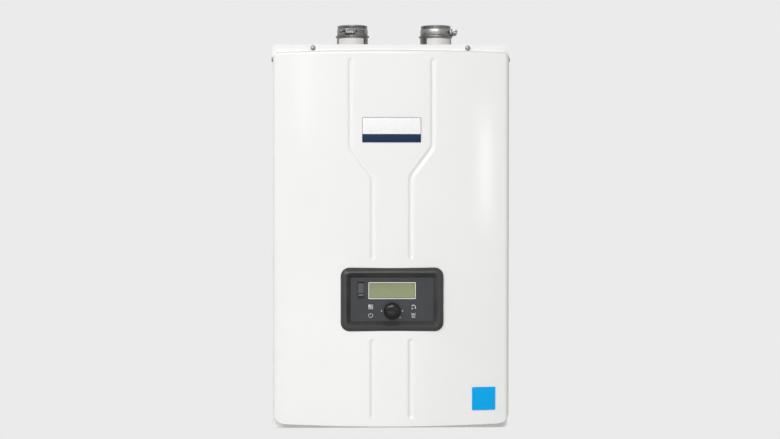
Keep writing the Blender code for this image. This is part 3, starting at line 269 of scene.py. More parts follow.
def ringed(rings, closed=False):
    """A piece extruded from ring to ring; every ring has the same count of points."""
    count = len(rings[0])
    bpy.ops.mesh.primitive_circle_add(vertices=count, radius=0.1, fill_type="NOTHING")
    piece = bpy.context.object
    for vertex, point in zip(piece.data.vertices, rings[0]):
        vertex.co = point
    for ring in rings[1:] + ([rings[0]] if closed else []):
        edit()
        bpy.ops.mesh.extrude_region_move()
        done()
        fresh = piece.data.vertices[len(piece.data.vertices) - count:]
        for vertex, point in zip(fresh, ring):
            vertex.co = point
    if not closed:
        edit()
        bpy.ops.mesh.edge_face_add()
        done()
        for index, vertex in enumerate(piece.data.vertices):
            vertex.select = index < count
        for edge in piece.data.edges:
            edge.select = all(v < count for v in edge.vertices)
        for face in piece.data.polygons:
            face.select = False
        edit()
        pick("EDGE")
        bpy.ops.mesh.edge_face_add()
        pick("VERT")
        done()
    return settle(piece)


def round_corners(width, height, radius, centre, steps=6):
    """Outline of a rectangle with round corners, in X and Z."""
    points = []
    for quarter, (sx, sz) in enumerate(((1, 1), (-1, 1), (-1, -1), (1, -1))):
        cx, cz = centre[0] + sx * (width / 2 - radius), centre[1] + sz * (height / 2 - radius)
        for i in range(steps + 1):
            angle = math.radians(90 * quarter + 90 * i / steps)
            points.append((cx + radius * math.cos(angle), cz + radius * math.sin(angle)))
    return points


def plate(outline, front, back):
    """A plate of an outline in X and Z."""
    return ringed([[(x, y, z) for x, z in outline] for y in (back, front)])


def joined(pieces):
    """Several pieces as one."""
    only(pieces[0])
    for piece in pieces[1:]:
        piece.select_set(True)
    bpy.ops.object.join()
    return bpy.context.object


def moved(piece, place, turn=(0, 0, 0)):
    """Move a piece from the origin to its place."""
    piece.rotation_euler = turn
    piece.location = place
    return baked(piece)


def copied(node):
    """A merged copy of a solid, its flat faces joined up again."""
    piece = bpy.data.objects.new("copy", frame["nodes"][node].data.copy())
    bpy.context.scene.collection.objects.link(piece)
    only(piece)
    edit("SELECT")
    bpy.ops.mesh.remove_doubles(threshold=MERGE)
    bpy.ops.mesh.dissolve_limited(angle_limit=math.radians(0.05))
    done()
    return piece


def rod(radius, depth, place, turn=(0, 0, 0), sides=24):
    """A cylinder at a place, its axis turned from Z."""
    bpy.ops.mesh.primitive_cylinder_add(vertices=sides, radius=radius, depth=depth, location=place, rotation=turn)
    return bpy.context.object


def cut_by(piece, cutter):
    """Cut one piece with another, which is used up."""
    only(piece)
    step = piece.modifiers.new("cut", "BOOLEAN")
    step.operation = "DIFFERENCE"
    step.solver = "EXACT"
    step.object = cutter
    bpy.ops.object.modifier_apply(modifier="cut")
    bpy.data.objects.remove(cutter)


# Finishes

def node_added(tree, kind, values=None, operation=None):
    """A new shader node, some of its sockets set."""
    node = tree.nodes.new(kind)
    for socket, value in (values or {}).items():
        node.inputs[socket].default_value = value
    if operation:
        node.operation = operation
    return node


def shader_of(made):
    """The surface node of a finish."""
    return made.node_tree.nodes["Principled BSDF"]


def finish(name, colour, roughness, metallic=0.0, gloss=0.5):
    """A finish of one colour; gloss is how strongly a surface that is no metal mirrors."""
    made = bpy.data.materials.new(name)
    made.use_nodes = True
    inputs = shader_of(made).inputs
    inputs["Base Color"].default_value = (*colour, 1)
    inputs["Roughness"].default_value = roughness
    inputs["Metallic"].default_value = metallic
    inputs["Specular IOR Level"].default_value = gloss
    return made


def pattern(made, scale, stretch=(1, 1, 1), detail=3, kind="ShaderNodeTexNoise"):
    """A noise or cell pattern on the piece's own coordinates; returns its value."""
    tree = made.node_tree
    place = node_added(tree, "ShaderNodeTexCoord")
    mapping = node_added(tree, "ShaderNodeMapping", {"Scale": stretch})
    texture = node_added(tree, kind, {"Scale": scale})
    if kind == "ShaderNodeTexNoise":
        texture.inputs["Detail"].default_value = detail
    tree.links.new(place.outputs["Object"], mapping.inputs["Vector"])
    tree.links.new(mapping.outputs["Vector"], texture.inputs["Vector"])
    return texture.outputs["Fac"] if "Fac" in texture.outputs else texture.outputs["Distance"]


def tinted(made, value, dark, light, low=0.3, high=0.7):
    """Base colour between two shades, by the pattern."""
    tree = made.node_tree
    ramp = node_added(tree, "ShaderNodeValToRGB")
    for stop, position, shade in zip(ramp.color_ramp.elements, (low, high), (dark, light)):
        stop.position = position
        stop.color = (*shade, 1)
    tree.links.new(value, ramp.inputs["Fac"])
    tree.links.new(ramp.outputs["Color"], shader_of(made).inputs["Base Color"])


def worn(made, value, low, high):
    """Roughness between two values, by the pattern."""
    tree = made.node_tree
    span = node_added(tree, "ShaderNodeMapRange", {"From Min": 0.3, "From Max": 0.7, "To Min": low, "To Max": high})
    tree.links.new(value, span.inputs["Value"])
    tree.links.new(span.outputs["Result"], shader_of(made).inputs["Roughness"])


def relief(made, value, distance, strength):
    """Bump from the pattern, its height in metres."""
    tree = made.node_tree
    bump = node_added(tree, "ShaderNodeBump", {"Distance": distance, "Strength": strength})
    tree.links.new(value, bump.inputs["Height"])
    tree.links.new(bump.outputs["Normal"], shader_of(made).inputs["Normal"])


def enamel():
    """White powder coat with a trace of orange peel."""
    made = finish("white_powder_coat", (0.87, 0.87, 0.86), 0.13, gloss=0.3)
    tinted(made, pattern(made, 9, detail=2), (0.862, 0.860, 0.852), (0.878, 0.877, 0.870))
    relief(made, pattern(made, 520, detail=2), 0.00001, 0.15)
    worn(made, pattern(made, 35), 0.11, 0.16)
    return made


def zinc():
    """Zinc-plated sheet with its spangle."""
    made = finish("zinc_plate", (0.60, 0.62, 0.64), 0.38, 0.9)
    spangle = pattern(made, 110, kind="ShaderNodeTexVoronoi")
    tinted(made, spangle, (0.52, 0.54, 0.56), (0.68, 0.70, 0.72), 0.1, 0.8)
    worn(made, pattern(made, 60), 0.30, 0.46)
    return made


def brushed(name, dark, light, roughness, stretch):
    """Bare metal with fine lines, drawn out where the stretch is small."""
    made = finish(name, light, roughness, 1.0)
    lines = pattern(made, 1.0, [BRUSH_GRIT * share for share in stretch], detail=2)
    tinted(made, lines, dark, light)
    relief(made, lines, 0.00002, 0.4)
    worn(made, pattern(made, 40), roughness - 0.06, roughness + 0.07)
    return made


def moulded(name, dark, light, roughness, grain=1400, gloss=0.5):
    """Moulded, glazed or coated matter with a fine grain."""
    made = finish(name, dark, roughness, gloss=gloss)
    tinted(made, pattern(made, 25), dark, light)
    relief(made, pattern(made, grain, detail=2), 0.00003, 0.5)
    worn(made, pattern(made, 90), roughness - 0.05, roughness + 0.06)
    return made


def cast(name, dark, light, roughness, metallic):
    """Drawn, turned or cast matter with a rough grain."""
    made = finish(name, light, roughness, metallic)
    tinted(made, pattern(made, 60, detail=5), dark, light)
    relief(made, pattern(made, 700, detail=4), 0.0001, 0.6)
    worn(made, pattern(made, 120), roughness - 0.08, roughness + 0.08)
    return made


def printed(name, colour, roughness, gloss=0.5):
    """A printed or film surface, with the faint unevenness of ink."""
    made = finish(name, colour, roughness, gloss=gloss)
    light = [min(1.0, c * 1.04 + 0.001) for c in colour]
    dark = [c * 0.96 for c in colour]
    tinted(made, pattern(made, 300, detail=2), dark, light)
    worn(made, pattern(made, 120), roughness - 0.04, roughness + 0.05)
    return made


def clear_glass():
    """Clear glass of the sight hole."""
    made = finish("sight_glass_clear", (0.80, 0.86, 0.84), 0.04)
    shader_of(made).inputs["Transmission Weight"].default_value = 0.9
    worn(made, pattern(made, 150), 0.03, 0.07)
    return made


def display_film():
    """Green film under a thin gloss."""
    made = finish("display_film", (0.225, 0.262, 0.120), 0.20)
    tinted(made, pattern(made, 40, detail=2), (0.218, 0.254, 0.115), (0.232, 0.270, 0.125))
    shader_of(made).inputs["Coat Weight"].default_value = 0.3
    worn(made, pattern(made, 60), 0.16, 0.24)
    return made


def make_finishes():
    """Every finish by the name that it is asked for."""
    prints = {
        "badge_white": ((0.88, 0.88, 0.88), 0.36),
        "badge_navy": ((0.009, 0.028, 0.078), 0.36, 0.12),
        "badge_rule": ((0.33, 0.34, 0.36), 0.36),
        "sticker_blue": ((0.002, 0.400, 0.840), 0.36, 0.12),
        "ink_white": ((0.62, 0.62, 0.64), 0.45),
        "bar_grey": ((0.21, 0.21, 0.22), 0.45),
        "label_white": ((0.75, 0.72, 0.71), 0.40),
        "border_grey": ((0.74, 0.75, 0.70), 0.40),
        "display_dark": ((0.110, 0.125, 0.075), 0.36),
    }
    return {
        **{name: printed(name, *look) for name, look in prints.items()},
        "rocker_grey": moulded("rocker_grey", (0.070, 0.072, 0.078), (0.085, 0.087, 0.093), 0.38),
        "screw_steel": brushed("screw_steel", (0.20, 0.20, 0.20), (0.34, 0.34, 0.34), 0.34, (1, 1, 0.05)),
        "white_enamel": enamel(),
        "zinc_sheet": zinc(),
        "collar_steel": brushed("collar_steel_brushed", (0.15, 0.15, 0.15), (0.25, 0.25, 0.25), 0.34, (0.02, 0.02, 1)),
        "clamp_steel": brushed("band_steel_brushed", (0.24, 0.23, 0.22), (0.36, 0.35, 0.34), 0.42, (0.02, 0.02, 1)),
        # The housings' steel is painted darker than the band's same steel: painted shade of the housing that faces
        # away from the light.
        "housing_steel": brushed("housing_steel_painted_shade", (0.12, 0.12, 0.11), (0.22, 0.21, 0.20), 0.36, (1, 1, 0.05)),
        "stainless": brushed("stainless_pressed", (0.46, 0.46, 0.47), (0.60, 0.60, 0.61), 0.36, (1, 1, 0.02)),
        "copper": cast("copper_drawn", (0.60, 0.28, 0.16), (0.76, 0.42, 0.27), 0.38, 1.0),
        "brass": cast("brass_turned", (0.60, 0.45, 0.20), (0.76, 0.60, 0.32), 0.38, 1.0),
        "cast_alloy": cast("alloy_die_cast", (0.42, 0.43, 0.45), (0.55, 0.56, 0.58), 0.46, 0.8),
        "grey_plastic": moulded("bezel_grey", (0.047, 0.045, 0.045), (0.057, 0.055, 0.054), 0.20, gloss=0.30),
        "panel_plastic": moulded("panel_slate", (0.036, 0.038, 0.043), (0.043, 0.045, 0.050), 0.34, gloss=0.30),
        "black_plastic": moulded("black_moulded", (0.008, 0.008, 0.009), (0.012, 0.012, 0.013), 0.20, gloss=0.26),
        "display_green": display_film(),
        "board_green": moulded("board_coated", (0.02, 0.15, 0.07), (0.04, 0.22, 0.10), 0.45, 500),
        "ceramic": moulded("ceramic_glazed", (0.80, 0.79, 0.75), (0.87, 0.86, 0.82), 0.30, 600),
        "glass": clear_glass(),
        "foam": cast("foam_cells", (0.07, 0.07, 0.07), (0.12, 0.12, 0.12), 0.90, 0.0),
        "hose_white": moulded("hose_moulded", (0.74, 0.74, 0.72), (0.82, 0.82, 0.80), 0.48, 500),
    }


# Cover

def bow_depth(x):
    """Depth of the bowed front at x."""
    return -(BOW_BACK + math.sqrt(BOW_RADIUS ** 2 - x ** 2))


def groove_line(z):
    """Where the groove's middle runs at a height, and how steeply it leans there."""
    high, low = GROOVE_BENDS
    lean = (GROOVE_UPPER_X - GROOVE_LOWER_X) / (high - low)
    if z >= high + BEND_REACH:
        return GROOVE_UPPER_X, 0.0
    if z > high - BEND_REACH:
        share = (high + BEND_REACH - z) / (2 * BEND_REACH)
        return GROOVE_UPPER_X - lean * BEND_REACH * share ** 2, lean * share
    if z >= low + BEND_REACH:
        return GROOVE_UPPER_X - lean * (high - z), lean
    if z > low - BEND_REACH:
        share = (z - low + BEND_REACH) / (2 * BEND_REACH)
        return GROOVE_LOWER_X + lean * BEND_REACH * share ** 2, lean * share
    return GROOVE_LOWER_X, 0.0


def groove_depth(x, z):
    """How far the pressed groove dips at a point of the front."""
    middle, lean = groove_line(z)
    aside = abs(abs(x) - middle) / math.sqrt(1 + lean ** 2)
    beyond = min(max(z - high, low - z, 0) for high, low in GROOVE_RUNS)
    share = min(1.0, math.hypot(aside, beyond) / GROOVE_HALF_WIDTH)
    return GROOVE_DEPTH * math.cos(math.pi / 2 * share) ** 2


def cover_columns(z):
    """Half the cover's plan at a height, from the middle to the side: X, Y and whether it is in front."""
    middle, lean = groove_line(z)
    wide = math.sqrt(1 + lean ** 2)
    across = [middle + wide * offset / 1000 for offset in ACROSS_GROOVE]
    inner = [across[0] * share for share in (0, 0.25, 0.5, 0.75)]
    edge = COVER_HALF_W - COVER_EDGE
    slope = math.asin(edge / BOW_RADIUS)
    turn_x = edge - COVER_EDGE * math.sin(slope)
    turn_y = bow_depth(edge) + COVER_EDGE * math.cos(slope)
    outer = [across[-1] + (turn_x - across[-1]) * share for share in TO_SIDE]
    columns = [(x, bow_depth(x), True) for x in inner + across + outer]
    for angle in ROUND_SIDE:
        turn = math.radians(angle)
        x = turn_x + (COVER_HALF_W - turn_x) * math.cos(turn)
        columns.append((x, turn_y - COVER_EDGE * math.sin(turn), False))
    return columns + [(COVER_HALF_W, (turn_y + RIM_FACE) / 2, False), (COVER_HALF_W, RIM_FACE, False)]


def cover_rows():
    """Heights of the cover's rows, close together where its form changes fast."""
    rows = [*TOP_ROWS, *FOOT_ROWS]
    for high, low in GROOVE_RUNS:
        for step in END_STEPS:
            rows += [high + step, low - step]
    for bend in GROOVE_BENDS:
        rows += [bend + step for step in BEND_STEPS]
    rows.sort()
    filled = [rows[0]]
    for z in rows[1:]:
        start = filled[-1]
        if z - start < ROW_LEAST:
            continue
        parts = max(1, round((z - start) / ROW_MOST))
        filled += [start + (z - start) * (i + 1) / parts for i in range(parts)]
    return filled


def corner_drop(x, radius):
    """How far a corner's round has pulled the edge in at x."""
    over = max(0.0, abs(x) - (COVER_HALF_W - radius))
    return radius - math.sqrt(max(0.0, radius ** 2 - over ** 2))


def cover_height(x, z):
    """A row's height at x, under the arched top, over the arched foot and round the four corners."""
    arch = COVER_ARCH * min(1.0, (x / (COVER_HALF_W - COVER_CORNER)) ** 2)
    high = COVER_TOP - COVER_CORNER
    low = COVER_BOTTOM + COVER_FOOT_CORNER
    if z > high:
        reach = COVER_CORNER + COVER_ARCH - arch - corner_drop(x, COVER_CORNER)
        return high + (z - high) * reach / COVER_CORNER
    if z < low:
        reach = max(0.0, COVER_FOOT_CORNER - arch - corner_drop(x, COVER_FOOT_CORNER))
        return low + (z - low) * reach / COVER_FOOT_CORNER
    return z


def top_roll(x, y, z):
    """How far the top edge rolls back at a row, fading out round the corner and toward the rim."""
    share = min(1.0, max(0.0, (z - COVER_TOP + TOP_ROLL_HEIGHT) / TOP_ROLL_HEIGHT))
    fade = min(1.0, (RIM_FACE - y) / ROLL_FADE) * (1 - corner_drop(x, COVER_CORNER) / COVER_CORNER)
    return TOP_ROLL_DEPTH * (1 - math.sqrt(1 - share ** 2)) * fade


def rim_point(x, z):
    """The point of the rim's outer edge across from a point of the raised front's edge."""
    radius = COVER_CORNER if z > 0 else COVER_FOOT_CORNER
    inner = COVER_HALF_W - radius
    corner_z = COVER_TOP - radius if z > 0 else -COVER_BOTTOM - radius
    side = 1 if x > 0 else -1
    level = 1 if z > 0 else -1
    centre = (RIM_HALF[0] - RIM_CORNER, RIM_HALF[1] - RIM_CORNER)
    past_level = abs(z) > corner_z + HAIR
    if past_level and abs(x) > inner + HAIR:
        angle = math.atan2(abs(z) - corner_z, abs(x) - inner)
        return side * (centre[0] + RIM_CORNER * math.cos(angle)), level * (centre[1] + RIM_CORNER * math.sin(angle))
    if past_level:
        return x * centre[0] / inner, level * RIM_HALF[1]
    return side * RIM_HALF[0], z * centre[1] / corner_z


def border_drawn_out(piece):
    """Draw the open border out by one row of points, still in place, and return those points."""
    edit()
    pick("VERT")
    bpy.ops.mesh.select_all(action="SELECT")
    bpy.ops.mesh.remove_doubles(threshold=BORDER_MERGE)
    pick("EDGE")
    bpy.ops.mesh.select_non_manifold(extend=False)
    bpy.ops.mesh.extrude_region_move()
    done()
    return [vertex for vertex in piece.data.vertices if vertex.select]


def make_cover():
    """Bowed front of pressed sheet: four soft grooves, rolled sides and a flat rim behind."""
    rows = cover_rows()
    half = len(cover_columns(0))
    wide = 2 * half - 1
    bpy.ops.mesh.primitive_grid_add(x_subdivisions=wide - 1, y_subdivisions=len(rows) - 1, size=1)
    cover = bpy.context.object
    for index, vertex in enumerate(cover.data.vertices):
        row, place = divmod(index, wide)
        columns = cover_columns(rows[row])
        side = 1 if place >= half - 1 else -1
        x, y, front = columns[abs(place - half + 1)]
        dip = groove_depth(side * x - GROOVE_ASIDE, rows[row]) if front else 0.0
        vertex.co = (side * x, y + dip + top_roll(x, y, rows[row]), cover_height(x, rows[row]))
    only(cover)
    for vertex in border_drawn_out(cover):
        vertex.co.y = RIM_FACE
    for vertex in border_drawn_out(cover):
        vertex.co.x, vertex.co.z = rim_point(vertex.co.x, vertex.co.z)
    edit()
    pick("VERT")
    done()
    settle(cover)
    if cover.data.polygons[len(cover.data.polygons) // 3].normal.y > 0:
        edit()
        bpy.ops.mesh.flip_normals()
        done()
    bevelled(cover, 0.0016, 3, 55)
    wall = cover.modifiers.new("sheet", "SOLIDIFY")
    wall.thickness = SHEET
    wall.offset = -1
    bpy.ops.object.modifier_apply(modifier="sheet")
    cut_by(cover, plate(round_corners(*WINDOW_SIZE, WINDOW_CORNER, (0, BEZEL_Z), 5), -0.345, -0.300))
    for side in (1, -1):
        cut_by(cover, rod(SCREW_HOLE, 0.03, (side * COVER_SCREW_X, -0.285, COVER_SCREW_Z), ALONG_Y))
        cut_by(cover, rod(SCREW_HOLE, 0.02, (side * COVER_HALF_W, SIDE_SCREW_Y, SIDE_SCREW_Z), ALONG_X))
    smoothed(cover, 32)
    dress(cover, "front_cover_pressed", "cover", "white_enamel", nodes=["front_cover"])


def bowed_plate(name, low, high, lift, thickness, look, corner):
    """A thin plate on the bowed front between two corners, low and high in X and Z, all its edges rounded."""
    x_low, z_low = low
    x_high, z_high = high
    bpy.ops.mesh.primitive_cube_add(size=1, location=((x_low + x_high) / 2, 0, (z_low + z_high) / 2))
    piece = bpy.context.object
    piece.scale = (x_high - x_low, thickness, z_high - z_low)
    baked(piece)
    edit("SELECT")
    pick("EDGE")
    bpy.ops.mesh.bevel(offset=corner, segments=5)
    for i in range(1, BOW_STRIPS):
        bpy.ops.mesh.select_all(action="SELECT")
        x = x_low + (x_high - x_low) * i / BOW_STRIPS
        bpy.ops.mesh.bisect(plane_co=(x, 0, 0), plane_no=(1, 0, 0))
    pick("VERT")
    done()
    for vertex in piece.data.vertices:
        vertex.co.y += bow_depth(vertex.co.x) - lift - thickness / 2
    smoothed(piece, 40)
    dress(piece, name, "cover", look)


def make_badge():
    """Bare badge: a thin raised edge, a white field and a navy band below it."""
    bowed_plate("badge_edge", (-0.0594, 0.1861), (0.0562, 0.2351), 0.0001, 0.0006, "badge_rule", 0.0016)
    bowed_plate("badge_field", (-0.0586, 0.2025), (0.0554, 0.2343), 0.0007, 0.0002, "badge_white", 0.0006)
    bowed_plate("badge_band", (-0.0590, 0.1865), (0.0558, 0.2022), 0.0007, 0.0002, "badge_navy", 0.0006)


def make_sticker():
    """Bare blue square low on the right."""
    bowed_plate("square_sticker", (0.1587, -0.3422), (0.2056, -0.2968), 0.0001, 0.0002, "sticker_blue",
                0.0014)


# Control unit

def bezel_ring(inset, depth=0.0, seat=False):
    """One ring of the bezel; the seat follows the bowed front."""
    width, height = BEZEL_SIZE[0] - 2 * inset, BEZEL_SIZE[1] - 2 * inset
    outline = round_corners(width, height, BEZEL_CORNER - CORNER_SHRINK * inset, (0, BEZEL_Z), 9)
    return [(x, bow_depth(x) - SEAT_GAP if seat else depth, z) for x, z in outline]


def make_bezel():
    """Frame that rises to a crest and falls to the panel, its edges eased; each ring as inset and depth."""
    edge = BEZEL_FRONT + 0.0036
    profile = ((0, -0.3186), (0, edge + 0.0036), (0.0004, edge + 0.0020), (0.0012, edge + 0.0008),
               (0.0026, edge - 0.0004), (0.0076, BEZEL_FRONT + 0.0004), (0.0088, BEZEL_FRONT), (0.0099, BEZEL_FRONT),
               (0.0110, BEZEL_FRONT + 0.0006), (0.0118, BEZEL_FRONT + 0.0016), (0.0194, -0.3252), (0.0196, -0.3248),
               (0.0196, -0.3243), (0.0117, -0.3243), (0.0117, -0.3142), (0.0074, -0.3142))
    rings = [bezel_ring(*row) for row in profile]
    bezel = ringed([bezel_ring(0.0004, seat=True), *rings, bezel_ring(0.0074, seat=True)], closed=True)
    smoothed(bezel, 28)
    dress(bezel, "control_bezel_moulded", "cover", "grey_plastic", nodes=["control_bezel"])


def ring_plate(outer, inner, front, back):
    """A flat ring between two outlines in X and Z."""
    rows = ((outer, back), (outer, front + 0.0002), (outer, front), (inner, front), (inner, back))
    return ringed([[(x, y, z) for x, z in outline] for outline, y in rows], closed=True)


def make_display():
    """Dark pane with a pale border on it and the green film within."""
    width, height = DISPLAY_SIZE
    centre = (0, DISPLAY_Z)
    outer = round_corners(width, height, 0.0014, centre)
    inner = round_corners(width - 2 * DISPLAY_BORDER, height - 2 * DISPLAY_BORDER, 0.0005, centre)
    border = ring_plate(outer, inner, PANEL_FACE - 0.0004, PANEL_FACE + 0.0003)
    smoothed(border, 30)
    dress(border, "display_border", "casing", "border_grey")
    film = plate(round_corners(*FILM_SIZE, 0.0006, centre), PANEL_FACE - 0.0001, PANEL_FACE + 0.0003)
    dress(film, "display_film", "casing", "display_green")
    dress(copied("display_glass"), "display_pane", "casing", "display_dark", ["display_glass"])


def tick(x, z, width, height, turn=0.0, face=KEY_FACE):
    """A small raised bar of ink, turned in the panel's plane."""
    half_w, half_h = width / 2, height / 2
    cos, sin = math.cos(turn), math.sin(turn)
    corners = [(-half_w, -half_h), (half_w, -half_h), (half_w, half_h), (-half_w, half_h)]
    outline = [(x + a * cos - b * sin, z + a * sin + b * cos) for a, b in corners]
    return plate(outline, face - INK, face)


def arc_stroke(x, z, radius, width, start, end, steps):
    """A curved stroke of ink round a point."""
    outer, inner = [], []
    for i in range(steps + 1):
        angle = math.radians(start + (end - start) * i / steps)
        outer.append((x + (radius + width / 2) * math.cos(angle), z + (radius + width / 2) * math.sin(angle)))
        inner.append((x + (radius - width / 2) * math.cos(angle), z + (radius - width / 2) * math.sin(angle)))
    return plate(outer + inner[::-1], KEY_FACE - INK, KEY_FACE)


def square_mark(x, z, size):
    """An open square of four bars."""
    half, inside = size / 2 - STROKE / 2, size - 2 * STROKE
    bars = [tick(x, z + half, size, STROKE), tick(x, z - half, size, STROKE)]
    return bars + [tick(x - half, z, STROKE, inside), tick(x + half, z, STROKE, inside)]


def inked(bars, name, body):
    """Join the bars of a printed mark."""
    dress(joined(bars), name, body, "ink_white")


def make_marks():
    """The printed marks: one on each key, two arrows beside the dial and its index."""
    cell, size = 0.0024, 0.0042
    x, z = KEYS["menu"]
    bars = [tick(x - cell, z + cell, size, size)]
    for dx, dz in ((cell, cell), (-cell, -cell), (cell, -cell)):
        bars += square_mark(x + dx, z + dz, size)
    inked(bars, "menu_mark", "menu_button")
    x, z = KEYS["power"]
    bars = [arc_stroke(x, z, 0.0042, 0.0008, 112, 428, 24), tick(x, z + 0.0030, 0.0008, 0.0030)]
    inked(bars, "power_mark", "power_button")
    x, z = KEYS["water"]
    x -= 0.001
    bars = [arc_stroke(x + 0.0004, z - 0.0012, 0.0046, 0.0015, 8, 128, 14)]
    bars += [tick(x + 0.0049, z - 0.0024, 0.0019, 0.0030), tick(x - 0.0014, z - 0.0026, 0.0040, STROKE)]
    bars += [tick(x - 0.0012, z - 0.0042, 0.0036, STROKE), tick(x - 0.0022, z + 0.0018, 0.0010, 0.0026, 0.7)]
    inked(bars, "water_mark", "water_button")
    x, z = KEYS["heat"]
    bars = square_mark(x, z - 0.0012, 0.0066)
    bars += [tick(x - 0.0034, z + 0.0036, STROKE, 0.0026, 0.5), tick(x + 0.0034, z + 0.0036, STROKE, 0.0026, -0.5)]
    bars += [tick(x + 0.0002, z - 0.0012, STROKE, 0.0040, -0.5), tick(x, z + 0.0036, 0.0030, STROKE)]
    inked(bars, "heat_mark", "heat_button")
    arrows = []
    for side in (-1, 1):
        foot = side * 0.0198
        outline = [(foot, DIAL_Z + 0.0018), (foot, DIAL_Z - 0.0018), (side * 0.0222, DIAL_Z)]
        arrows.append(plate(outline if side < 0 else outline[::-1], PANEL_FACE - INK, PANEL_FACE))
    arrows.append(tick(0.0156, DIAL_Z - 0.0130, 0.0012, 0.0032, -0.75, PANEL_FACE))
    inked(arrows, "dial_marks", "casing")


def make_dial():
    """Domed knob with shallow finger dips, standing on its stem."""
    count = 96
    back = PANEL_FACE - 0.0006
    # Each row: the stem's radius in metres, or else a share of the knob's; the depth; how far the dips reach there.
    profile = [(0.0031, back + 0.0110, 0), (0.0031, back, 0), (0.97, back, 1), (1.0, back - 0.0006, 1),
               (1.0, back - 0.0058, 1), (0.985, back - 0.0074, 0.9), (0.955, back - 0.0087, 0.7),
               (0.90, back - 0.0099, 0.45), (0.82, back - 0.0109, 0.25), (0.70, back - 0.0118, 0.1),
               (0.54, back - 0.0124, 0), (0.36, back - 0.0128, 0), (0.08, back - 0.0130, 0)]
    rings = []
    for size, depth, dip in profile:
        ring = []
        for i in range(count):
            angle = 2 * math.pi * i / count
            wave = max(0.0, math.cos(DIAL_DIPS * angle)) ** 2
            radius = size if size < 0.01 else DIAL_RADIUS * (size - DIP_DEPTH * dip * wave)
            ring.append((radius * math.cos(angle), depth, DIAL_Z + radius * math.sin(angle)))
        rings.append(ring)
    knob = ringed(rings)
    smoothed(knob, 50)
    dress(knob, "dial_knob_turned", "dial", "black_plastic", nodes=["dial_knob"])


def make_rocker():
    """Rocker with a rounded lower end, a black plate laid on it there as painted shade, and a grey bar across it."""
    rocker = copied("power_rocker")
    (left, _, foot), (right, _, _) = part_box("power_rocker")
    edit()
    pick("EDGE")
    bpy.ops.mesh.select_all(action="DESELECT")
    done()
    for edge in rocker.data.edges:
        a, b = (rocker.data.vertices[v].co for v in edge.vertices)
        edge.select = max(a.z, b.z) < foot + 0.0036 and abs(a.x - b.x) < 0.0001
    edit()
    bpy.ops.mesh.bevel(offset=ROCKER_ROUND, segments=6)
    pick("VERT")
    done()
    bevelled(rocker, 0.0005, 3, 25)
    smoothed(rocker, 35)
    dress(rocker, "power_rocker_moulded", "rocker", "rocker_grey", ["power_rocker"])
    # A thin black plate over the lower end of the rocker: painted shade for the part that faces down, away from the
    # light.
    outline = [(left, foot + ROCKER_PAINTED_SHADE)]
    for corner_x, start in ((left + ROCKER_ROUND, 180), (right - ROCKER_ROUND, 270)):
        for step in range(7):
            angle = math.radians(start + 15 * step)
            outline.append((corner_x + ROCKER_ROUND * math.cos(angle), foot + ROCKER_ROUND * (1 + math.sin(angle))))
    outline.append((right, foot + ROCKER_PAINTED_SHADE))
    shade_plate = plate(outline, ROCKER_LAND - 0.0003, ROCKER_LAND + 0.0002)
    dress(shade_plate, "rocker_painted_shade_end", "rocker", "black_plastic")
    bar = box_piece((left + 0.0012, ROCKER_LAND - 0.0007, foot + 0.0056),
                    (right - 0.0012, ROCKER_LAND - 0.0001, foot + 0.0074))
    dress(bar, "rocker_mark", "rocker", "bar_grey")


# Vent collars

def make_vent_collar(node, x):
    """Rolled steel collar: foot, sleeve, flange and the ring that the pipe slides into."""
    profile = [(VENT_BORE, 0.3684), (0.0308, 0.3680), (0.0318, 0.3680), (0.0320, 0.3684), (0.0320, 0.3833),
               (0.0410, 0.3833), (0.0410, 0.3846), (0.0406, 0.3851), (0.0334, 0.3852), (0.0328, 0.3858),
               (0.0328, 0.4128), (0.0331, 0.4137), (0.0350, 0.4137), (0.0355, 0.4141), (0.0356, 0.4153),
               (0.0355, 0.4165), (0.0350, 0.4169), (0.0318, 0.4169), (0.0312, 0.4174), (0.0312, 0.4350),
               (0.0317, 0.4358), (0.0318, 0.4366), (0.0315, 0.4375), (0.0311, 0.4378), (0.0307, 0.4376),
               (VENT_BORE, 0.4368)]
    collar = moved(grown(profile, 96, True), (x, COLLAR_Y, 0))
    smoothed(collar, 40)
    dress(collar, f"{node}_rolled", "casing", "collar_steel", nodes=[node])
    lip, root = VENT_BORE - 0.0004, VENT_BORE + 0.0001
    seal = moved(grown([(lip, 0.4225), (root, 0.4225), (root, 0.4275), (lip, 0.4275)], 72, True), (x, COLLAR_Y, 0))
    dress(seal, f"{node}_seal", "casing", "foam")


def curved_label(name, x, low, high, start, end):
    """A label wrapped round the sleeve, spun about the collar's axis; angles are from straight in front."""
    inner, outer = SLEEVE_RADIUS + 0.00005, SLEEVE_RADIUS + 0.00030
    bpy.ops.mesh.primitive_plane_add(size=1, rotation=(math.pi / 2, 0, 0))
    strip = bpy.context.object
    strip.scale = (outer - inner, high - low, 1)
    strip.location = ((inner + outer) / 2, 0, (low + high) / 2)
    baked(strip)
    edit("SELECT")
    bpy.ops.mesh.spin(steps=24, angle=math.radians(end - start), center=(0, 0, 0), axis=(0, 0, 1))
    done()
    ends = [math.atan2(v.co.y, v.co.x) for v in strip.data.vertices]
    turn = math.radians(-90 + (start + end) / 2) - (min(ends) + max(ends)) / 2
    moved(strip, (x, COLLAR_Y, 0), (0, 0, turn))
    settle(strip)
    smoothed(strip, 40)
    dress(strip, name, "casing", "label_white")


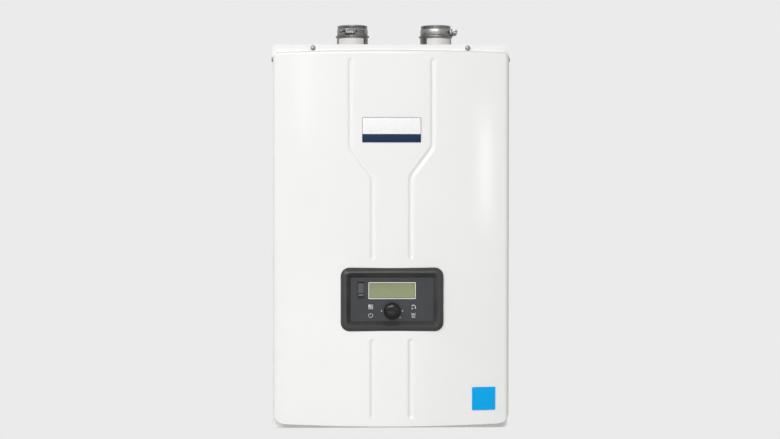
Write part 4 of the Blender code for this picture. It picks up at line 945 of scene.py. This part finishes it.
def make_strap(label, place, turn, slots):
    """The clamp's band, its slots cut one by one."""
    rows = [(BAND_INNER, 0.0004), (BAND_INNER + 0.0003, 0), (BAND_OUTER - 0.0002, 0), (BAND_OUTER, 0.0004)]
    rim = [(radius, BAND_LOW + eased) for radius, eased in rows]
    strap = grown(rim + [(radius, BAND_HIGH - eased) for radius, eased in rows[::-1]], 96, True)
    for i in range(*slots):
        angle = math.radians(-90 + SLOT_STEP * i)
        slot = box_piece((-0.0012, -0.00055, -0.0042), (0.0012, 0.00055, 0.0042))
        moved(slot, (BAND_OUTER * math.cos(angle), BAND_OUTER * math.sin(angle), BAND_Z), (SLOT_SLANT, 0, angle))
        cut_by(strap, slot)
    smoothed(moved(strap, place, turn), 30)
    dress(strap, f"{label}_clamp_strap", "casing", "clamp_steel", nodes=[f"{label}_clamp_band"])


def make_housing(label, place, turn):
    """The pressed housing over the worm: bored through, hollow against the band, with four ribs."""
    start, end = HOUSING_ENDS
    housing = box_piece((start, WORM_Y - 0.0050, BAND_LOW + 0.0001), (end, -0.0262, BAND_HIGH - 0.0001))
    bevelled(housing, 0.0022, 4, 60)
    cut_by(housing, rod(BAND_OUTER + 0.00002, 0.03, (0, 0, BAND_Z), sides=48))
    for edge_x in HOUSING_ENDS:
        cut_by(housing, rod(0.0041, 0.006, (edge_x, WORM_Y, BAND_Z), ALONG_X, 28))
    for i in range(4):
        low = (-0.0140 + RIB_PITCH * i, WORM_Y - 0.0060, BAND_Z - 0.0034)
        cut_by(housing, box_piece(low, (-0.0128 + RIB_PITCH * i, WORM_Y - 0.0046, BAND_Z + 0.0034)))
    bevelled(moved(housing, place, turn), 0.0002, 2, 50)
    smoothed(housing, 35)
    dress(housing, f"{label}_clamp_housing", "casing", "housing_steel")


def make_worm(label, place, turn):
    """The worm screw with its flange and slotted hexagon head."""
    thread = [(0.0022, -0.0235)]
    for i in range(22):
        thread += [(0.0022, -0.0228 + WORM_PITCH * i), (0.0029, -0.0221 + WORM_PITCH * i)]
    thread.append((0.0016, 0.0086))
    worm = grown(thread, 32)
    flange = grown([(0.0058, -0.0236), (0.0058, -0.0230)], 32)
    hexagon = settle(rod(0.0046, 0.0062, (0, 0, -0.0264), sides=6))
    cut_by(hexagon, box_piece((-0.0007, -0.007, -0.0310), (0.0007, 0.007, -0.0278)))
    bevelled(hexagon, 0.0003, 2, 40)
    screw = joined([worm, bevelled(flange, 0.0002, 2, 60), hexagon])
    moved(screw, (0, WORM_Y, BAND_Z), ALONG_X)
    smoothed(moved(screw, place, turn), 35)
    dress(screw, f"{label}_clamp_worm", f"{label}_screw", "screw_steel", [f"{label}_clamp_screw"])


def make_clamp(label, x, turn, slots):
    """Worm-drive band clamp round a collar, turned about its axis."""
    place, about = (x, COLLAR_Y, 0), (0, 0, turn)
    make_strap(label, place, about, slots)
    make_housing(label, place, about)
    make_worm(label, place, about)


# Screws and fittings

def make_pan_screw(node, place, turn):
    """Pan-head screw of the cover, with a crossed recess."""
    head = grown([(0.0016, -0.0060), (0.0022, -0.0050), (0.0022, 0.0), (0.0049, 0.0), (0.0050, 0.0003),
                  (0.0048, 0.0012), (0.0042, 0.0020), (0.0033, 0.0025), (0.0020, 0.0028)], 48)
    for a, b in ((0.0026, 0.00055), (0.00055, 0.0026)):
        cut_by(head, box_piece((-a, -b, 0.0014), (a, b, 0.0034)))
    moved(head, place, turn)
    bevelled(head, 0.00015, 1, 60)
    smoothed(head, 35)
    dress(head, f"{node}_turned", "cover", "screw_steel", [node])


def make_screws():
    """Two screws through the rim's top and one through each side."""
    for side, label in ((1, "right"), (-1, "left")):
        make_pan_screw(f"{label}_cover_screw", (side * COVER_SCREW_X, RIM_FACE - SEAT_GAP, COVER_SCREW_Z), ALONG_Y)
        make_pan_screw(f"{label}_side_screw", (side * (COVER_HALF_W + SEAT_GAP), SIDE_SCREW_Y, SIDE_SCREW_Z),
                       (0, side * math.pi / 2, 0))


def make_connection(node, x):
    """Threaded pipe end with its flange against the bottom plate."""
    profile = [(0.0095, -0.3550), (0.0118, -0.3550), (0.0120, -0.3554), (0.0120, -0.3775), (0.0176, -0.3775),
               (0.0180, -0.3779), (0.0180, -0.3811), (0.0176, -0.3815), (0.0124, -0.3815), (0.0122, -0.3838)]
    for turn in range(11):
        z = -0.3842 - THREAD_PITCH * turn
        profile += [(0.0133, z), (0.0133, z - 0.0002), (0.0123, z - 0.0009), (0.0123, z - 0.0011)]
    profile += [(0.0121, -0.4046), (0.0118, -0.4050), (0.0100, -0.4050), (0.0095, -0.4045)]
    fitting = moved(grown(profile, 64, True), (x, CONNECTION_Y, 0))
    smoothed(fitting, 32)
    dress(fitting, f"{node}_threaded", "casing", "brass", nodes=[node])


def make_spout():
    """Condensate spout with three barbs for its hose."""
    profile = [(0.0065, -0.3553), (0.0102, -0.3553), (0.0105, -0.3557), (0.0105, -0.3785), (0.0147, -0.3785),
               (0.0150, -0.3789), (0.0150, -0.3811), (0.0147, -0.3815), (0.0086, -0.3815), (0.0086, -0.3860)]
    for barb in range(3):
        z = -0.3862 - BARB_PITCH * barb
        profile += [(0.0095, z), (0.0095, z - 0.0006), (0.0086, z - 0.0054)]
    profile += [(0.0082, -0.4050), (0.0068, -0.4050), (0.0065, -0.4046)]
    spout = moved(grown(profile, 64, True), (DRAIN_X, CONNECTION_Y, 0))
    smoothed(spout, 32)
    dress(spout, "condensate_spout", "casing", "hose_white", nodes=["condensate_drain"])


def make_gland():
    """Cord gland: flange, ribbed nut and soft bush."""
    count = 72
    profile = [(0.0045, -0.3650, 0), (0.0102, -0.3650, 0), (0.0105, -0.3654, 0), (0.0105, -0.3785, 0),
               (0.0147, -0.3785, 0), (0.0150, -0.3789, 0), (0.0150, -0.3811, 0), (0.0147, -0.3815, 0),
               (0.0093, -0.3818, 0), (0.0095, -0.3830, 1), (0.0095, -0.3990, 1), (0.0092, -0.4010, 0),
               (0.0080, -0.4040, 0), (0.0074, -0.4049, 0), (0.0060, -0.4050, 0), (0.0047, -0.4048, 0),
               (0.0045, -0.4040, 0)]
    rings = []
    for radius, z, ribbed in profile:
        ring = []
        for i in range(count):
            angle = 2 * math.pi * i / count
            reach = radius - RIB_DEPTH * ribbed * (0.5 - 0.5 * math.cos(GLAND_RIBS * angle))
            ring.append((GLAND_X + reach * math.cos(angle), CONNECTION_Y + reach * math.sin(angle), z))
        rings.append(ring)
    gland = ringed(rings, closed=True)
    smoothed(gland, 40)
    dress(gland, "power_gland_nut", "casing", "black_plastic", nodes=["power_gland"])


def bent_route(corners, bend):
    """Points of a route whose inner corners are arcs of one bend radius."""
    corners = [Vector(corner) for corner in corners]
    points = [corners[0]]
    for before, corner, after in zip(corners, corners[1:], corners[2:]):
        into = (before - corner).normalized()
        out = (after - corner).normalized()
        half = into.angle(out) / 2
        centre = corner + (into + out).normalized() * bend / math.sin(half)
        start = corner + into * bend / math.tan(half) - centre
        end = corner + out * bend / math.tan(half) - centre
        for i in range(BEND_POINTS + 1):
            points.append(centre + start.normalized().slerp(end.normalized(), i / BEND_POINTS) * bend)
    points.append(corners[-1])
    return points


def drawn_tube(node, name, corners, radius, bend, look):
    """A round tube along a bent route, its ends closed."""
    route = bpy.data.curves.new(name, "CURVE")
    route.dimensions = "3D"
    route.bevel_depth = radius
    route.bevel_resolution = 7
    route.use_fill_caps = True
    points = bent_route(corners, bend)
    line = route.splines.new("POLY")
    line.points.add(len(points) - 1)
    for point, place in zip(line.points, points):
        point.co = (*place, 1)
    tube = bpy.data.objects.new(name, route)
    bpy.context.scene.collection.objects.link(tube)
    only(tube)
    bpy.ops.object.convert(target="MESH")
    tube = settle(bpy.context.object)
    smoothed(tube, 45)
    dress(tube, name, "casing", look, nodes=[node])


def make_pipework():
    """Pipes, tube, hose and harness: how each is made, its finish, radius, bend and the corners of its route."""
    y = CONNECTION_Y
    routes = {
        "cold_pipe": ("drawn", "copper", 0.0095, 0.022, [
            (COLD_X, y, -0.2397), (COLD_X, y, 0.2915), (0.0503, y, 0.2915)]),
        "hot_pipe": ("drawn", "copper", 0.0095, 0.020, [
            (HOT_X, y, -0.3547), (HOT_X, y, 0.181), (0.0463, y, 0.181)]),
        "gas_tube": ("drawn", "copper", 0.0045, 0.018, [
            (-0.0903, y, -0.245), (-0.1440, y, -0.245), (-0.1440, y, 0.0497)]),
        "condensate_hose": ("bent", "hose_white", 0.0080, 0.020, [
            (-0.1563, COLLAR_Y, 0.2575), (DRAIN_X, COLLAR_Y, 0.2575), (DRAIN_X, COLLAR_Y, -0.1897)]),
        "control_harness": ("sleeved", "black_plastic", 0.0035, 0.020, [
            (0.0878, -0.292, -0.150), (0.124, -0.292, -0.150), (0.165, -0.262, -0.158), (0.186, -0.205, -0.135),
            (0.188, -0.158, -0.080), (0.188, -0.158, -0.0403)]),
    }
    for node, (way, look, radius, bend, corners) in routes.items():
        drawn_tube(node, f"{node}_{way}", corners, radius, bend, look)


def make_rest():
    """Every other solid keeps its form: a copy with its flat faces joined up, in its finish."""
    slots = {row["node"]: row["material_slot"] for row in frame["record"]["subparts"]}
    for body, members in frame["record"]["behaviour"]["bodies"].items():
        for node in members:
            if node not in STOOD_FOR:
                piece = smoothed(copied(node), 35)
                dress(piece, f"{node}_finished", body, slots[node], nodes=[node])


# Stage

def make_stage():
    """Pale floor, well below the heater."""
    bpy.ops.mesh.primitive_plane_add(size=7, location=(0, -0.6, FLOOR_Z))
    floor = bpy.context.object
    floor.name = "floor"
    floor.data.materials.append(finish("floor_pale", (0.80, 0.80, 0.80), 0.8))


def make_world():
    """Pale background, and soft light that comes more from the left than from the right."""
    world = bpy.data.worlds.new("studio")
    bpy.context.scene.world = world
    world.use_nodes = True
    tree = world.node_tree
    tree.nodes.clear()

    def larger(first, second):
        """The larger of two values."""
        node = node_added(tree, "ShaderNodeMath", operation="MAXIMUM")
        tree.links.new(first, node.inputs[0])
        tree.links.new(second, node.inputs[1])
        return node.outputs[0]

    rays = node_added(tree, "ShaderNodeLightPath").outputs
    pale = larger(rays["Is Glossy Ray"], larger(rays["Is Camera Ray"], rays["Is Transmission Ray"]))
    seen = node_added(tree, "ShaderNodeBackground", {"Color": BACKGROUND})
    where = node_added(tree, "ShaderNodeTexCoord")
    split = node_added(tree, "ShaderNodeSeparateXYZ")
    tree.links.new(where.outputs["Generated"], split.inputs[0])
    level = node_added(tree, "ShaderNodeMath", {1: SOFT_SLOPE, 2: SOFT_LIGHT}, "MULTIPLY_ADD")
    tree.links.new(split.outputs["X"], level.inputs[0])
    lit = node_added(tree, "ShaderNodeBackground", {"Color": (1.0, 0.995, 0.985, 1)})
    tree.links.new(level.outputs[0], lit.inputs["Strength"])
    mix = node_added(tree, "ShaderNodeMixShader")
    for socket, source in enumerate((pale, lit.outputs[0], seen.outputs[0])):
        tree.links.new(source, mix.inputs[socket])
    tree.links.new(mix.outputs[0], node_added(tree, "ShaderNodeOutputWorld").inputs["Surface"])


def add_light(name, place, target, size, power):
    """A rectangular lamp that faces a point."""
    bpy.ops.object.light_add(type="AREA", location=place)
    lamp = bpy.context.object
    lamp.name = name
    lamp.data.shape = "RECTANGLE"
    lamp.data.size, lamp.data.size_y = size
    lamp.data.energy = power
    lamp.rotation_euler = (Vector(target) - Vector(place)).to_track_quat("-Z", "Y").to_euler()


def make_lights():
    """Broad light from the front and left, and two narrow lamps whose sheen shows on the bowed cover."""
    add_light("front", (-0.6, -7.6, 3.4), (0, -0.3, 0.0), (4.0, 2.0), 300)
    add_light("left_key", (-2.0, -2.8, 1.8), (0, -0.3, 0.0), (1.4, 1.4), 26)
    add_light("low_fill", (-0.3, -4.4, -0.75), (0, -0.3, -0.1), (2.4, 0.7), 8)
    add_light("left_sheen", (-0.627, -2.268, 0.46), (-0.17, -0.31, 0.28), (0.12, 0.36), 0.45)
    add_light("right_sheen", (0.992, -2.152, 0.160), (0.19, -0.30, 0.14), (0.08, 0.34), 0.85)


def make_camera():
    """The camera of the photo; its shift carries the photo's framing."""
    bpy.ops.object.camera_add(location=(-0.2291, -3.116, 0.1013))
    camera = bpy.context.object
    camera.rotation_euler = (math.radians(90 - 0.8), 0, math.radians(-1.2))
    camera.data.sensor_width = 36
    camera.data.lens = 65.667
    camera.data.shift_x = 0.1085
    camera.data.shift_y = -0.0180
    camera.data.clip_start = 0.05
    bpy.context.scene.camera = camera


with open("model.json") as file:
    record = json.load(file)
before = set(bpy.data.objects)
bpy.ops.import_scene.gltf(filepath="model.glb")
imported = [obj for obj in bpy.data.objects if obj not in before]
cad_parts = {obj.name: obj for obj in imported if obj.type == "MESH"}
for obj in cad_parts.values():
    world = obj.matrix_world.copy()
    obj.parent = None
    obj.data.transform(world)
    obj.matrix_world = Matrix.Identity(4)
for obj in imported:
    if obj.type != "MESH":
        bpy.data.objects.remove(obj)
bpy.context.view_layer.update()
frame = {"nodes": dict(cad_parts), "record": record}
for loaded in bpy.context.selected_objects:
    loaded.select_set(False)
make_camera()
make_world()
make_lights()
make_stage()
FINISHES.update(make_finishes())
make_cover()
make_badge()
make_sticker()
make_bezel()
make_display()
make_marks()
make_dial()
make_rocker()
make_vent_collar("exhaust_collar", EXHAUST_X)
make_vent_collar("intake_collar", INTAKE_X)
curved_label("exhaust_label", EXHAUST_X, 0.3960, 0.4100, -62, 42)
curved_label("intake_label", INTAKE_X, 0.3930, 0.4100, -40, 60)
make_clamp("exhaust", EXHAUST_X, EXHAUST_TURN, (3, 12))
make_clamp("intake", INTAKE_X, INTAKE_TURN, (-8, -5))
make_screws()
make_connection("cold_inlet_nipple", COLD_X)
make_connection("hot_outlet_nipple", HOT_X)
make_connection("gas_inlet_nipple", GAS_X)
make_spout()
make_gland()
make_pipework()
make_rest()
bpy.context.scene.view_settings.view_transform = "Standard"
